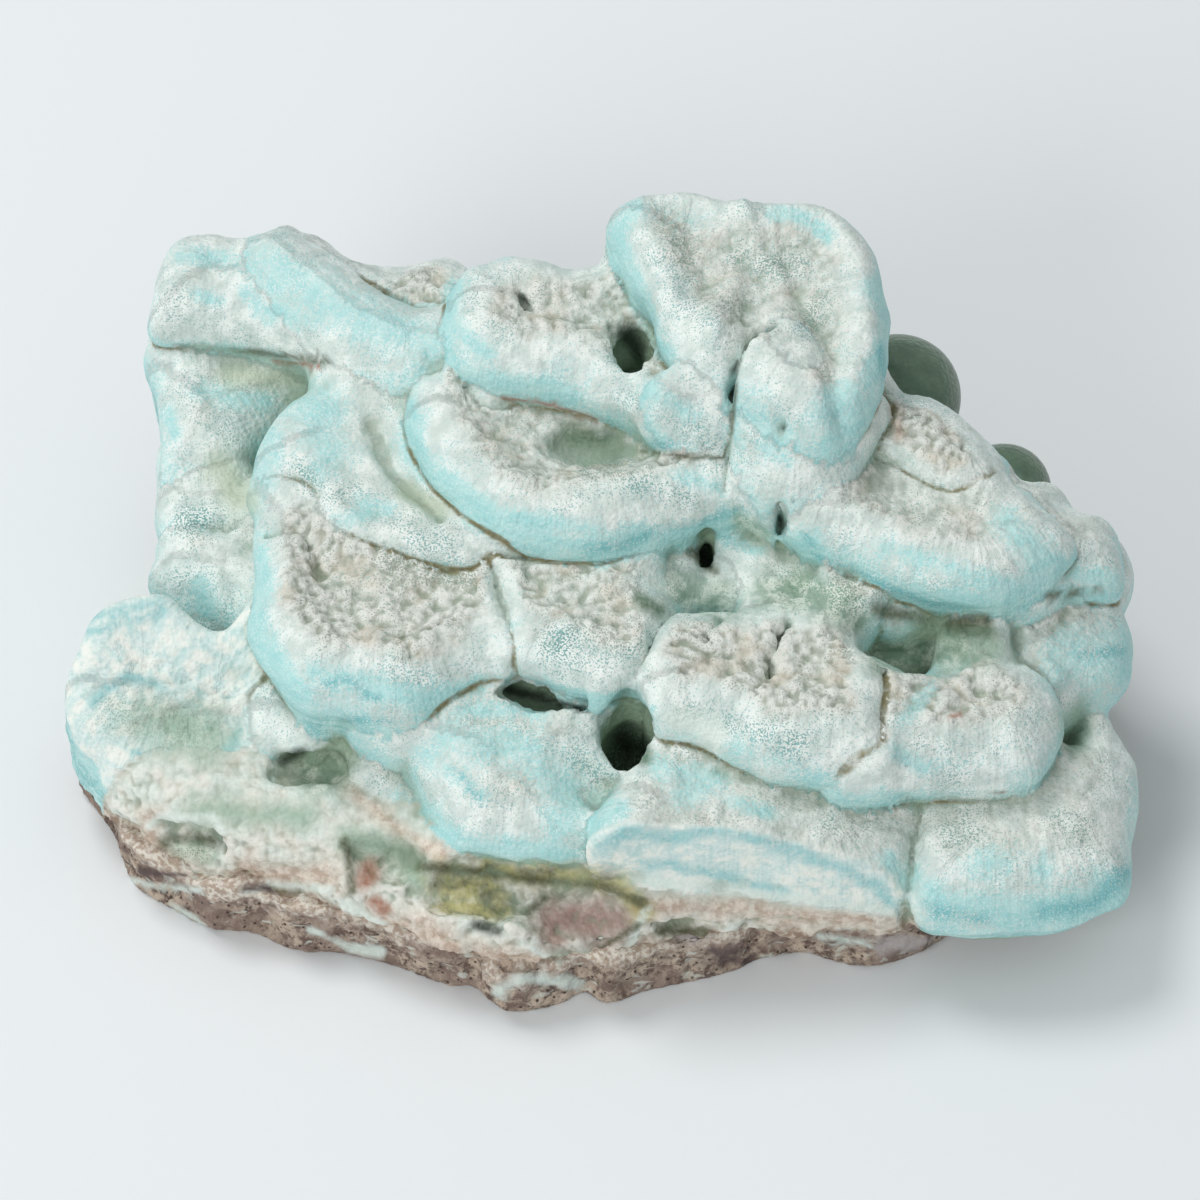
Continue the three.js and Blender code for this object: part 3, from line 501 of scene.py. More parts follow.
def knobs(p, size, seed):
    """Rounded knobs packed side by side: 1 on their tops, 0 in the creases between them."""
    q = p / size
    cell = np.floor(q).astype(np.int64)
    nearest = np.full(len(p), OUTSIDE)
    for step in itertools.product((-1, 0, 1), repeat=3):
        c = cell + step
        centre = c + np.stack([hashed(c, seed + k) for k in range(3)], axis=1)
        nearest = np.minimum(nearest, ((q - centre) ** 2).sum(axis=1))
    return 1 - np.clip(nearest, 0, 1)


def layered(noise, p, layers):
    """Noise of several sizes on top of each other."""
    return sum(height * noise(p, size, seed) for height, size, seed in layers)


def smoothstep(low, high, x):
    t = np.clip((x - low) / (high - low), 0, 1)
    return t * t * (3 - 2 * t)


class Grid:
    """A regular grid over the specimen; its columns carry maps seen from above."""

    def __init__(self, low, high, step):
        self.low, self.step = np.array(low, float), step
        self.size = [int(math.ceil((h - l) / step)) + 1 for l, h in zip(low, high)]
        self.x, self.y, self.z = (l + step * np.arange(n) for l, n in zip(low, self.size))

    def window(self, points, margin):
        """The columns around a set of points."""
        p = np.array(points)
        lo = np.floor((p.min(0) - margin - self.low[:2]) / self.step).astype(int)
        hi = np.ceil((p.max(0) + margin - self.low[:2]) / self.step).astype(int)
        lo, hi = np.maximum(lo, 0), np.minimum(hi, np.array(self.size[:2]) - 1)
        return slice(lo[0], hi[0] + 1), slice(lo[1], hi[1] + 1)

    def sample(self, table, window, p):
        """Values of a map over a window of columns, at places in millimetres."""
        u = (p[:, 0] - self.x[window[0].start]) / self.step
        v = (p[:, 1] - self.y[window[1].start]) / self.step
        u, v = np.clip(u, 0, table.shape[0] - 1.001), np.clip(v, 0, table.shape[1] - 1.001)
        i, j = u.astype(int), v.astype(int)
        u, v = u - i, v - j
        near = table[i, j] * (1 - v) + table[i, j + 1] * v
        far = table[i + 1, j] * (1 - v) + table[i + 1, j + 1] * v
        return near * (1 - u) + far * u


def inside_loop(p, loop):
    """Which places are inside a closed outline."""
    inside = np.zeros(len(p), bool)
    for a, b in zip(loop, np.roll(loop, -1, 0)):
        if a[1] != b[1]:
            crosses = (a[1] > p[:, 1]) != (b[1] > p[:, 1])
            inside ^= crosses & (p[:, 0] < a[0] + (p[:, 1] - a[1]) * (b - a)[0] / (b - a)[1])
    return inside


def outline_maps(window, loop, reach=0.0, steepness=1.0):
    """For the columns of a window: how far inside a closed outline they are, and where along it.

    Each point of the outline can have a reach, by which the shape runs on past it, and a steepness.
    """
    x, y = plan_x[window], plan_y[window]
    p = np.stack([x.ravel(), y.ravel()], axis=1)
    reach, steepness = (np.broadcast_to(v, len(loop)) for v in (reach, steepness))
    away = np.full(len(p), FAR)
    inset = np.full(len(p), FAR)
    along = np.zeros(len(p))
    run_on = np.zeros(len(p))
    travelled = 0.0
    for k, a in enumerate(loop):
        after = (k + 1) % len(loop)
        edge = loop[after] - a
        length = math.hypot(*edge)
        t = np.clip((p - a) @ edge / length**2, 0, 1)
        distance = np.hypot(*(p - a - t[:, None] * edge).T)
        closer = distance < away
        along = np.where(closer, travelled + t * length, along)
        here = reach[k] + t * (reach[after] - reach[k])
        run_on = np.where(closer, here, run_on)
        steep = steepness[k] + t * (steepness[after] - steepness[k])
        inset = np.minimum(inset, here + steep * distance)
        away = np.minimum(away, distance)
        travelled += length
    inset = np.where(inside_loop(p, loop), inset, run_on - away)
    return inset.reshape(x.shape), along.reshape(x.shape)


def blurred(table, cells):
    """A map softened over some cells."""
    n = int(math.ceil(2.5 * cells))
    kernel = np.exp(-0.5 * (np.arange(-n, n + 1) / cells) ** 2)
    kernel /= kernel.sum()
    for axis in (0, 1):
        padded = np.pad(table, [(n, n) if a == axis else (0, 0) for a in (0, 1)], mode="edge")
        table = sum(k * np.take(padded, range(i, i + table.shape[axis]), axis) for i, k in enumerate(kernel))
    return table


def stroke_map(line, width):
    """1 along a line of points seen from above, fading over its width."""
    nearest = np.full(plan_x.shape, FAR)
    for a, b in zip(line, line[1:]):
        edge = b - a
        t = np.clip(((plan_x - a[0]) * edge[0] + (plan_y - a[1]) * edge[1]) / (edge @ edge), 0, 1)
        nearest = np.minimum(nearest, np.hypot(plan_x - a[0] - t * edge[0], plan_y - a[1] - t * edge[1]))
    return np.exp(-((nearest / width) ** 2))


def lobe_field(lobe):
    """Signed distance to a lobe over its columns: a wall, a rounded rim and a dished top."""
    inset, inner, rim = lobe["inset"][..., None], lobe["inner"][..., None], lobe["rim"]
    rise = grid.z - lobe["plane"][..., None]
    rounded = np.hypot(np.maximum(rim - inset, 0), np.maximum(rise, 0)) - rim
    top = np.where(inset > rim, rise - rim, rounded) + lobe["dish"] * inner
    wall = -inset + np.minimum(lobe["undercut"] * np.maximum(-rise, 0), lobe["deepest"])
    field = np.where(rise < 0, wall, top)
    if lobe["broken"]:
        field = np.maximum(field, in_front[lobe["window"]][..., None])
    return field.astype(np.float32)


def fillet(width, apart):
    """How much a fillet of a width fills where two surfaces are so far apart."""
    return width / 4 * (np.maximum(width - np.abs(apart), 0) / width) ** 2


def surface_nets(field, low, step):
    """Vertices and quads of a field's zero level."""
    inside = field < 0
    cells = [n - 1 for n in field.shape]
    count = np.zeros(cells, np.int8)
    for corner in CORNERS:
        count += inside[tuple(slice(c, c + n) for c, n in zip(corner, cells))]
    cell = np.argwhere((count > 0) & (count < 8))
    number = np.full(cells, -1, np.int32)
    number[tuple(cell.T)] = np.arange(len(cell))
    total = np.zeros((len(cell), 3))
    crossings = np.zeros(len(cell))
    for axis in range(3):
        along = np.eye(3, dtype=int)[axis]
        for corner in CORNERS:
            if corner[axis]:
                continue
            a = field[tuple((cell + corner).T)]
            b = field[tuple((cell + corner + along).T)]
            crossed = (a < 0) != (b < 0)
            t = np.where(crossed, a / np.where(crossed, a - b, 1), 0)
            total += crossed[:, None] * (corner + t[:, None] * along)
            crossings += crossed
    places = low + step * (cell + total / crossings[:, None])
    quads = []
    for axis in range(3):
        u, v = (np.eye(3, dtype=int)[(axis + k) % 3] for k in (1, 2))
        ahead = np.roll(inside, -1, axis)
        edge = np.argwhere(inside != ahead)
        edge = edge[(edge[:, axis] < cells[axis]) & (edge > 0).all(1) & (edge < cells).all(1)]
        outward = inside[tuple(edge.T)]
        ring = [number[tuple((edge - back).T)] for back in (0 * u, u, u + v, v)]
        ring = np.stack(ring, axis=1)
        quads.append(np.where(outward[:, None], ring, ring[:, ::-1]))
    return places, np.concatenate(quads)


def largest_piece(places, quads):
    """Drops the crumbs that aren't joined to the largest piece."""
    label = np.arange(len(places))
    pairs = np.concatenate([quads[:, :2], quads[:, 1:3], quads[:, 2:4]])
    while True:
        lowest = np.minimum(label[pairs[:, 0]], label[pairs[:, 1]])
        new = label.copy()
        np.minimum.at(new, pairs[:, 0], lowest)
        np.minimum.at(new, pairs[:, 1], lowest)
        new = new[new]
        new = new[new]
        if (new == label).all():
            break
        label = new
    kept = label == np.bincount(label).argmax()
    renumbered = np.cumsum(kept) - 1
    return places[kept], renumbered[quads[kept[quads[:, 0]]]]


def normals_of(places, quads):
    """Unit normals of the vertices of a mesh of quads."""
    a, b, c, d = (places[quads[:, k]] for k in range(4))
    flat = np.cross(c - a, d - b)
    total = np.zeros_like(places)
    for k in range(4):
        for axis in range(3):
            total[:, axis] += np.bincount(quads[:, k], flat[:, axis], len(places))
    return total / np.maximum(np.linalg.norm(total, axis=1), 1e-9)[:, None]


def mesh_object(name, places, quads):
    """A thinned, smooth mesh of a field's surface."""
    mesh = bpy.data.meshes.new(name)
    mesh.vertices.add(len(places))
    mesh.vertices.foreach_set("co", (places * MM).ravel())
    mesh.loops.add(4 * len(quads))
    mesh.loops.foreach_set("vertex_index", quads.ravel())
    mesh.polygons.add(len(quads))
    mesh.polygons.foreach_set("loop_start", np.arange(0, 4 * len(quads), 4))
    mesh.update(calc_edges=True)
    piece = bpy.data.objects.new(name, mesh)
    bpy.context.scene.collection.objects.link(piece)
    if 2 * len(quads) > MOST_TRIANGLES:
        thin = piece.modifiers.new("thin", "DECIMATE")
        thin.ratio = MOST_TRIANGLES / (2 * len(quads))
        depsgraph = bpy.context.evaluated_depsgraph_get()
        piece.data = bpy.data.meshes.new_from_object(piece.evaluated_get(depsgraph))
        piece.modifiers.clear()
        piece.data.name = name
    piece.data.shade_smooth()
    return piece


def tints_at(places, tints, ragged=1.0):
    """How much of each tint a place has: its brush strokes have ragged edges."""
    pixels = seen_at(places)
    torn = ragged * layered(soft_noise, places, RAGGED_TINTS)
    shares = {}
    for name, strokes in tints.items():
        nearest = np.full(len(pixels), NO_STROKE)
        for width, line in brush(strokes):
            for a, b in zip(np.array(line), np.array(line[1:])):
                edge = b - a
                t = np.clip((pixels - a) @ edge / (edge @ edge), 0, 1)
                nearest = np.minimum(nearest, np.hypot(*(pixels - a - t[:, None] * edge).T) / width)
        softness = SOFT_EDGE if name in SOFT_TINTS else SHARP_EDGE
        shares[name] = 1 - smoothstep(STROKE_EDGE - softness, STROKE_EDGE + softness, nearest + torn)
    return shares


def vertex_places(mesh):
    p = np.empty(3 * len(mesh.vertices))
    mesh.vertices.foreach_get("co", p)
    return p.reshape(-1, 3) / MM


def vertex_normals(mesh):
    normal = np.empty(3 * len(mesh.vertices))
    mesh.vertex_normals.foreach_get("vector", normal)
    return normal.reshape(-1, 3)


def facing(mesh):
    """How squarely the vertices face the picture's view: 1 for straight on."""
    return vertex_normals(mesh) @ VIEW_BACK


def add_values(mesh, **layers):
    """Named values on the vertices, for the materials."""
    for name, values in layers.items():
        layer = mesh.attributes.new(name, "FLOAT", "POINT")
        layer.data.foreach_set("value", np.asarray(values, np.float32))


lobes = [placed(whole(lobe)) for lobe in LOBES.values()] + [whole(CRUST_FOOT)]
FOOT = len(lobes) - 1
CORE_OWNER = len(lobes)
DOME_OWNER = CORE_OWNER + 1
low, high = (np.array(c) / MM for c in cad_box)
grid = Grid(low - MARGIN, high + MARGIN, STEP)
plan_x, plan_y = np.meshgrid(grid.x, grid.y, indexing="ij")
everywhere = (slice(0, grid.size[0]), slice(0, grid.size[1]))

for lobe in lobes:
    lobe["loop"] = smooth_loop(lobe["lip"])


def plane_at(lobe, x, y):
    """Height of the plane of a lobe's lip."""
    (heart_x, heart_y), (right, back) = lobe["heart"], lobe["slope"]
    return lobe["height"] + right * (x - heart_x) + back * (y - heart_y)


def neighbour_rise(lobe):
    """How much higher than a lobe its neighbour is, for every point of its outline."""
    loop = lobe["loop"]
    rise = np.full(len(loop), NO_RISE)
    if lobe["fused"] or lobe is lobes[FOOT]:
        return rise
    along = np.roll(loop, -1, 0) - np.roll(loop, 1, 0)
    out = np.stack([along[:, 1], -along[:, 0]], axis=1) / np.hypot(*along.T)[:, None]
    if not inside_loop(loop - 0.1 * out, loop).mean() > 0.5:
        out = -out
    beside = loop + NEIGHBOUR_WITHIN * out
    for other in lobes[:FOOT]:
        if other is not lobe and not other["fused"]:
            higher = plane_at(other, *beside.T) + other["rim"] - plane_at(lobe, *beside.T) - lobe["rim"]
            rise = np.where(inside_loop(beside, other["loop"]), np.maximum(rise, higher), rise)
    return rise


def evened(values):
    """Values around a closed outline, evened out with their neighbours."""
    return sum(np.roll(values, k) * (4 - abs(k)) for k in range(-3, 4)) / 16


# Maps of every lobe over the columns below it
for lobe in lobes:
    window = lobe["window"] = grid.window(lobe["loop"], UNDER_NEIGHBOUR + 3)
    rise = neighbour_rise(lobe)
    behind_break = lobe["loop"][:, 1] - np.interp(lobe["loop"][:, 0], *zip(*FRONT_BREAK))
    reach = evened(UNDER_NEIGHBOUR * smoothstep(0.3, 2.3, rise) * smoothstep(2, 8, behind_break))
    steepness = evened(1 + STEEPER * smoothstep(-3, 0, rise))
    inset, lobe["along"] = outline_maps(window, lobe["loop"], reach, steepness)
    plain = outline_maps(window, lobe["loop"])[0]
    lobe["inset"] = blurred(inset, LIP_SOFTENED / STEP)
    lobe["deepest"] = MOST_RETREAT * plain.max()
    across = np.clip(inset.max() - lobe["lip_width"], *SINKS_OVER)
    lobe["inner"] = smoothstep(0, across, lobe["inset"] - lobe["lip_width"])
    lobe["plane"] = plane_at(lobe, plan_x[window], plan_y[window])

# The core's top follows the lobes' lips some way below them
weight_sum = np.zeros(plan_x.shape)
core_top = np.zeros(plan_x.shape)
for lobe in lobes[:FOOT]:
    away = (plan_x - lobe["heart"][0]) ** 2 + (plan_y - lobe["heart"][1]) ** 2
    weight = 1 / (away + CORE_EVENNESS) ** 2
    core_top += weight * lobe["height"]
    weight_sum += weight
core_top = core_top / weight_sum - CREVICE_DEPTH
core_inset = outline_maps(everywhere, smooth_loop(CORE))[0]
core_top -= CORE_DROP * np.exp(-np.maximum(core_inset, 0) / CORE_DROP_WIDTH)

# How far in front of the break every column is, the rise of the strokes, and where lobes grew together
break_x, break_y = np.array(FRONT_BREAK).T
in_front = np.interp(plan_x, break_x, break_y, right=BEHIND) - plan_y
stroke_rise = np.zeros(plan_x.shape)
grown = np.zeros(plan_x.shape)
for height, width, rise, line in STROKES.values():
    stroke_rise += rise * stroke_map(places_on(line, height), width)
for height, width, line in GROWN_TOGETHER.values():
    grown = np.maximum(grown, stroke_map(places_on(line, height), width))

# The field: the nearest and the second nearest surface, and whose the nearest is
nearest = np.full(grid.size, OUTSIDE, np.float32)
second = np.full(grid.size, OUTSIDE, np.float32)
owner = np.full(grid.size, -1, np.int8)


def join(window, field, number):
    """Joins a surface to the field over a window of columns."""
    view = (*window, slice(None))
    near, next_near = nearest[view], second[view]
    closer = field < near
    next_near[:] = np.where(closer, near, np.minimum(next_near, field))
    owner[view] = np.where(closer, number, owner[view])
    near[:] = np.where(closer, field, near)


def fuse(window, field, number):
    """Joins a surface to the field with no crease around it."""
    view = (*window, slice(None))
    near = nearest[view]
    closer = field < near
    owner[view] = np.where(closer, number, owner[view])
    gap[view] = np.where(closer, np.maximum(gap[view], FUSING), gap[view])
    near[:] = np.minimum(near, field) - fillet(FUSING, near - field)


for number, lobe in enumerate(lobes):
    if not lobe["fused"]:
        join(lobe["window"], lobe_field(lobe), number)
core_field = np.maximum(-core_inset[..., None], 0.8 * (grid.z - core_top[..., None]))
join(everywhere, core_field.astype(np.float32), CORE_OWNER)
domes = [(place_at(pixel, height), radius) for pixel, height, radius in GREEN_DOMES]
for centre, radius in domes:
    window = grid.window([centre[:2]], radius + 4)
    x, y = plan_x[window][..., None], plan_y[window][..., None]
    away = np.sqrt((x - centre[0]) ** 2 + (y - centre[1]) ** 2 + (grid.z - centre[2]) ** 2)
    join(window, (away - radius).astype(np.float32), DOME_OWNER)
    grown[window] = np.maximum(grown[window], 1 - smoothstep(1, 4, away.min(2) - radius))

# Lobes grow together: creases between them are filled a little, and more where they grew together
gap = second - nearest
merging = (MERGING + (FUSING - MERGING) * grown)[..., None].astype(np.float32)
nearest -= fillet(merging, gap)
for number, lobe in enumerate(lobes):
    if lobe["fused"]:
        fuse(lobe["window"], lobe_field(lobe), number)

solid = nearest < 0
top = np.where(solid.any(2), grid.z[grid.size[2] - 1 - solid[:, :, ::-1].argmax(2)], 0)

for number, (heart, height, radii, edge) in enumerate(HOLLOWS.values()):
    centre = place_at(heart, height)
    window = grid.window([centre[:2]], max(radii[:2]) + 3)
    x, y = plan_x[window][..., None], plan_y[window][..., None]
    offset = [(v - c) / radius for v, c, radius in zip((x, y, grid.z), centre, radii)]
    inside = (1 - np.sqrt(sum(o**2 for o in offset))) * min(radii)
    p = np.stack(np.broadcast_arrays(x, y, grid.z), axis=-1).reshape(-1, 3)
    inside += 0.5 * soft_noise(p, 2.6, 51 + number).reshape(inside.shape)
    view = nearest[(*window, slice(None))]
    view[:] = np.maximum(view, inside) + fillet(edge, view - inside)
nearest -= stroke_rise[..., None].astype(np.float32)
plan = np.stack([plan_x.ravel(), plan_y.ravel(), 0 * plan_x.ravel()], axis=1)
contact = CONTACT + 0.8 * soft_noise(plan, 6, 61).reshape(plan_x.shape)
nearest = np.maximum(nearest, (contact - BELOW_CONTACT)[..., None] - grid.z)


def between_cells(field, p):
    """Values of a field at places between its cells."""
    q = np.clip((p - grid.low) / STEP, 0, np.array(grid.size) - 1.001)
    cell = q.astype(int)
    t = q - cell
    total = np.zeros(len(p))
    for corner in CORNERS:
        total += np.prod(np.where(corner, t, 1 - t), axis=1) * field[tuple((cell + corner).T)]
    return total


def hollowness(mesh, rounds):
    """How far the vertices lie below the mesh smoothed over some rounds, in millimetres."""
    ends = np.empty(2 * len(mesh.edges), np.int32)
    mesh.edges.foreach_get("vertices", ends)
    a, b = ends.reshape(-1, 2).T
    n = len(mesh.vertices)
    count = np.maximum(np.bincount(a, minlength=n) + np.bincount(b, minlength=n), 1)
    p = vertex_places(mesh)
    smooth = p.copy()
    for _ in range(rounds):
        for k in range(3):
            near = np.bincount(a, smooth[b, k], n) + np.bincount(b, smooth[a, k], n)
            smooth[:, k] = (smooth[:, k] + near / count) / 2
    return ((smooth - p) * vertex_normals(mesh)).sum(axis=1)


def describe(p):
    """Where places are on their lobes: the owner, the gap to its neighbour, and the lobe's own measures."""
    cell = tuple(np.clip(np.rint((p - grid.low) / STEP).astype(int), 0, np.array(grid.size) - 1).T)
    told = {key: np.zeros(len(p)) for key in ("inset", "level", "along", "grain", "face")}
    told["owner"] = owner[cell]
    told["gap"] = np.maximum(between_cells(gap, p), 0)
    for number, lobe in enumerate(lobes):
        mine = told["owner"] == number
        if not mine.any():
            continue
        for key in ("inset", "along"):
            told[key][mine] = grid.sample(lobe[key], lobe["window"], p[mine])
        rise = p[mine, 2] - grid.sample(lobe["plane"], lobe["window"], p[mine])
        told["level"][mine] = rise / lobe["rim"]
        told["grain"][mine] = lobe["grain"]
        told["face"][mine] = lobe["face"]
    told["creased"] = smoothstep(17, 21, p[:, 2]) * (1 - grid.sample(grown, everywhere, p))
    told["creased"] *= smoothstep(-0.7, 0.1, soft_noise(p, 13, 13) + 0.5 * soft_noise(p, 5, 14))
    told["front"] = smoothstep(-1.2, -0.4, grid.sample(in_front, everywhere, p))
    told["front"] *= smoothstep(41.5, 38.5, p[:, 0])
    told["front"] = np.maximum(told["front"], told["owner"] == FOOT)
    ragged = layered(soft_noise, p, RAGGED_MIDDLES)
    middle = smoothstep(4.0, 6.5, told["inset"] + ragged) * smoothstep(0.2, 0.5, told["level"])
    told["grain"] *= middle * (1 - told["front"])
    return told


def outside_domes(p):
    """How far places are outside the nearest green dome."""
    return np.min([np.linalg.norm(p - centre, axis=1) - radius for centre, radius in domes], axis=0)


def relief(p, told):
    """How far the fine surface stands out from the plain lobes."""
    lift = layered(soft_noise, p, UNEVENNESS)
    grain = told["grain"]
    rough = grain > 0.01
    q, g = p[rough], grain[rough]
    furrows = np.abs(np.sin(math.pi * (told["along"][rough] / FURROW_WIDTH + 0.8 * soft_noise(q, 2.2, 33))))
    furrows *= 1 - smoothstep(7, 11, told["inset"][rough])
    pits = smoothstep(0.25, 0.6, soft_noise(q, 2.6, 34))
    lumps = layered(knobs, q, LUMPS) + FURROW_HEIGHT * furrows
    lift[rough] += g * (lumps - 1.2 - 0.35 * pits)
    fibres = np.sin(2 * math.pi * (told["along"] / FIBRE_WIDTH + 0.5 * soft_noise(p, 3, 35)))
    crest = smoothstep(0.5, 2.5, told["inset"]) * (1 - smoothstep(7, 10, told["inset"])) * (1 - grain)
    lift += FIBRE_HEIGHT * fibres * crest * (told["level"] > 0.1) * (told["owner"] != FOOT)
    lift -= CREASE_DEPTH * np.exp(-((told["gap"] / CREASE_WIDTH) ** 2)) * told["creased"]
    broken = (told["front"] > 0.01) | (told["face"] > 0.5)
    q, g = p[broken], np.maximum(told["front"], 0.6 * told["face"])[broken]
    g = g * np.where(told["owner"][broken] == FOOT, smoothstep(0, 1.2, told["gap"][broken]), 0.8)
    g = g * smoothstep(26, 8, q[:, 2])
    layers = 0.9 * soft_noise(q * (1, 1, 3.0), 5, 41)
    crumbs = layered(knobs, q, CRUMBS) - 1.0
    ledges = 0.9 * np.abs(soft_noise(q * (1, 1, 2.2), 5, 45)) * (told["owner"][broken] == FOOT)
    lift[broken] += g * (layers + crumbs - ledges)
    return np.where(told["owner"] == DOME_OWNER, 0.1, smoothstep(0, 2, outside_domes(p))) * lift


def depth_below_lips(places):
    """How deep places lie in hollows: 0 on the surface seen from above, 1 at 12 mm below it."""
    around = blurred(top, 4 / STEP)
    return np.clip((grid.sample(around, everywhere, places) - places[:, 2] - 4) / 12, 0, 1)


places, quads = largest_piece(*surface_nets(nearest, grid.low, STEP))
places += relief(places, describe(places))[:, None] * normals_of(places, quads)
crust = mesh_object("aragonite_surface", places, quads)

# What the materials need to know about every vertex of the crust
places = vertex_places(crust.data)
told = describe(places)
add_values(
    crust.data,
    level=told["level"],
    inset=told["inset"],
    along=told["along"],
    grain=told["grain"],
    crease=np.exp(-((told["gap"] / 0.55) ** 2)) * told["creased"],
    pit=hollowness(crust.data, 3),
    valley=hollowness(crust.data, 24),
    dome=1 - smoothstep(0.2, 1.6, outside_domes(places) + 0.5 * soft_noise(places, 2, 15)),
    front=told["front"],
    face=told["face"] * (told["level"] > 0.2),
    section=told["front"] * (told["owner"] != FOOT),
    depth=depth_below_lips(places) * (told["owner"] != DOME_OWNER) * (told["owner"] != FOOT),
    **tints_at(places, TINTS),
    hidden=1 - smoothstep(-0.15, 0.25, facing(crust.data)),
)

# The rock
rock_inset = outline_maps(everywhere, smooth_loop(ROCK_OUTLINE))[0]
rock_low, rock_high = ROCK_HEIGHTS
rock_grid = Grid((*(low - MARGIN)[:2], rock_low), (*(high + MARGIN)[:2], rock_high), STEP)
rock_top = contact[..., None] + ABOVE_CONTACT
rock_field = np.maximum(-rock_inset[..., None], rock_grid.z - rock_top).astype(np.float32)
rock_field = np.maximum(rock_field, -rock_grid.z)
places, quads = largest_piece(*surface_nets(rock_field, rock_grid.low, STEP))
bumps = 0.9 * soft_noise(places, 6, 71) + 0.8 * knobs(places, 2.8, 72) + 0.5 * knobs(places, 1.3, 73) - 0.6
bumps -= 1.3 * np.abs(soft_noise(places * (1, 1, 2), 4, 74))
side = smoothstep(0.1, 1.2, places[:, 2])
places += (bumps * side)[:, None] * normals_of(places, quads)
rock = mesh_object("rock_surface", places, quads)
add_values(rock.data, **tints_at(vertex_places(rock.data), ROCK_TINTS, ragged=2.4))


class Look:
    """A material whose colours come from nodes."""

    def __init__(self, name):
        self.material = bpy.data.materials.new(name)
        self.material.use_nodes = True
        self.tree = self.material.node_tree
        self.shader = self.tree.nodes["Principled BSDF"]
        self.here = self.tree.nodes.new("ShaderNodeTexCoord").outputs["Object"]

    def put(self, socket, value):
        if isinstance(value, bpy.types.NodeSocket):
            self.tree.links.new(value, socket)
        else:
            socket.default_value = value

    def finish(self, colour, roughness):
        self.put(self.shader.inputs["Base Color"], colour)
        self.put(self.shader.inputs["Roughness"], roughness)

    def node(self, kind, inputs, **settings):
        node = self.tree.nodes.new(kind)
        for name, value in settings.items():
            setattr(node, name, value)
        for key, value in inputs.items():
            self.put(node.inputs[key], value)
        return node

    def value(self, name):
        return self.node("ShaderNodeAttribute", {}, attribute_name=name).outputs["Fac"]

    def math(self, operation, *values):
        return self.node("ShaderNodeMath", dict(enumerate(values)), operation=operation).outputs[0]

    def add(self, a, b):
        return self.math("ADD", a, b)

    def times(self, a, b):
        return self.math("MULTIPLY", a, b)

    def rest(self, share):
        """What a share leaves of the whole."""
        return self.math("SUBTRACT", 1.0, share)

    def swing(self, x, reach):
        """Turns a value from 0 to 1 into one around 0."""
        return self.times(self.add(x, -0.5), reach)

    def step(self, x, low, high, start=0.0, end=1.0):
        """Goes smoothly from start to end as x goes from low to high."""
        inputs = {0: x, 1: low, 2: high, 3: start, 4: end}
        return self.node("ShaderNodeMapRange", inputs, interpolation_type="SMOOTHSTEP").outputs[0]

    def mix(self, share, a, b):
        return self.node("ShaderNodeMix", {0: share, 6: a, 7: b}, data_type="RGBA").outputs[2]

    def height(self):
        """Height above the table in millimetres."""
        parts = self.node("ShaderNodeSeparateXYZ", {0: self.here})
        return self.times(parts.outputs["Z"], 1 / MM)

    def noise(self, size, detail=2.0, stretch=(1, 1, 1), harsh=0.5):
        """Noise from 0 to 1 with lumps of a size in millimetres."""
        here = self.node("ShaderNodeVectorMath", {0: self.here, 1: stretch}, operation="MULTIPLY").outputs[0]
        inputs = {"Vector": here, "Scale": 1 / (size * MM), "Detail": detail, "Roughness": harsh}
        return self.node("ShaderNodeTexNoise", inputs).outputs[0]

    def cells(self, size):
        """Distance from the middle of the nearest grain."""
        inputs = {"Vector": self.here, "Scale": 1 / (size * MM)}
        return self.node("ShaderNodeTexVoronoi", inputs).outputs["Distance"]

    def fibres(self, width, length):
        """Noise from 0 to 1 in strands that run across the lobes' lips, its sizes in millimetres."""
        across = self.times(self.value("along"), 1 / width)
        down = self.times(self.value("inset"), 1 / length)
        strand = self.node("ShaderNodeCombineXYZ", {0: across, 1: down}).outputs[0]
        return self.node("ShaderNodeTexNoise", {"Vector": strand, "Scale": 1, "Detail": 2}).outputs[0]

    def bump(self, height, distance, strength=1.0):
        """Raises the surface by a height from 0 to 1 times a distance in millimetres."""
        inputs = {"Height": height, "Distance": distance * MM, "Strength": strength}
        node = self.node("ShaderNodeBump", inputs)
        before = self.shader.inputs["Normal"]
        if before.is_linked:
            self.put(node.inputs["Normal"], before.links[0].from_socket)
        self.put(before, node.outputs[0])


def rgb(red, green, blue):
    """A colour given as seen, from 0 to 255."""
    linear = [c / 255 / 12.92 if c < 11 else ((c / 255 + 0.055) / 1.055) ** 2.4 for c in (red, green, blue)]
    return (*linear, 1)


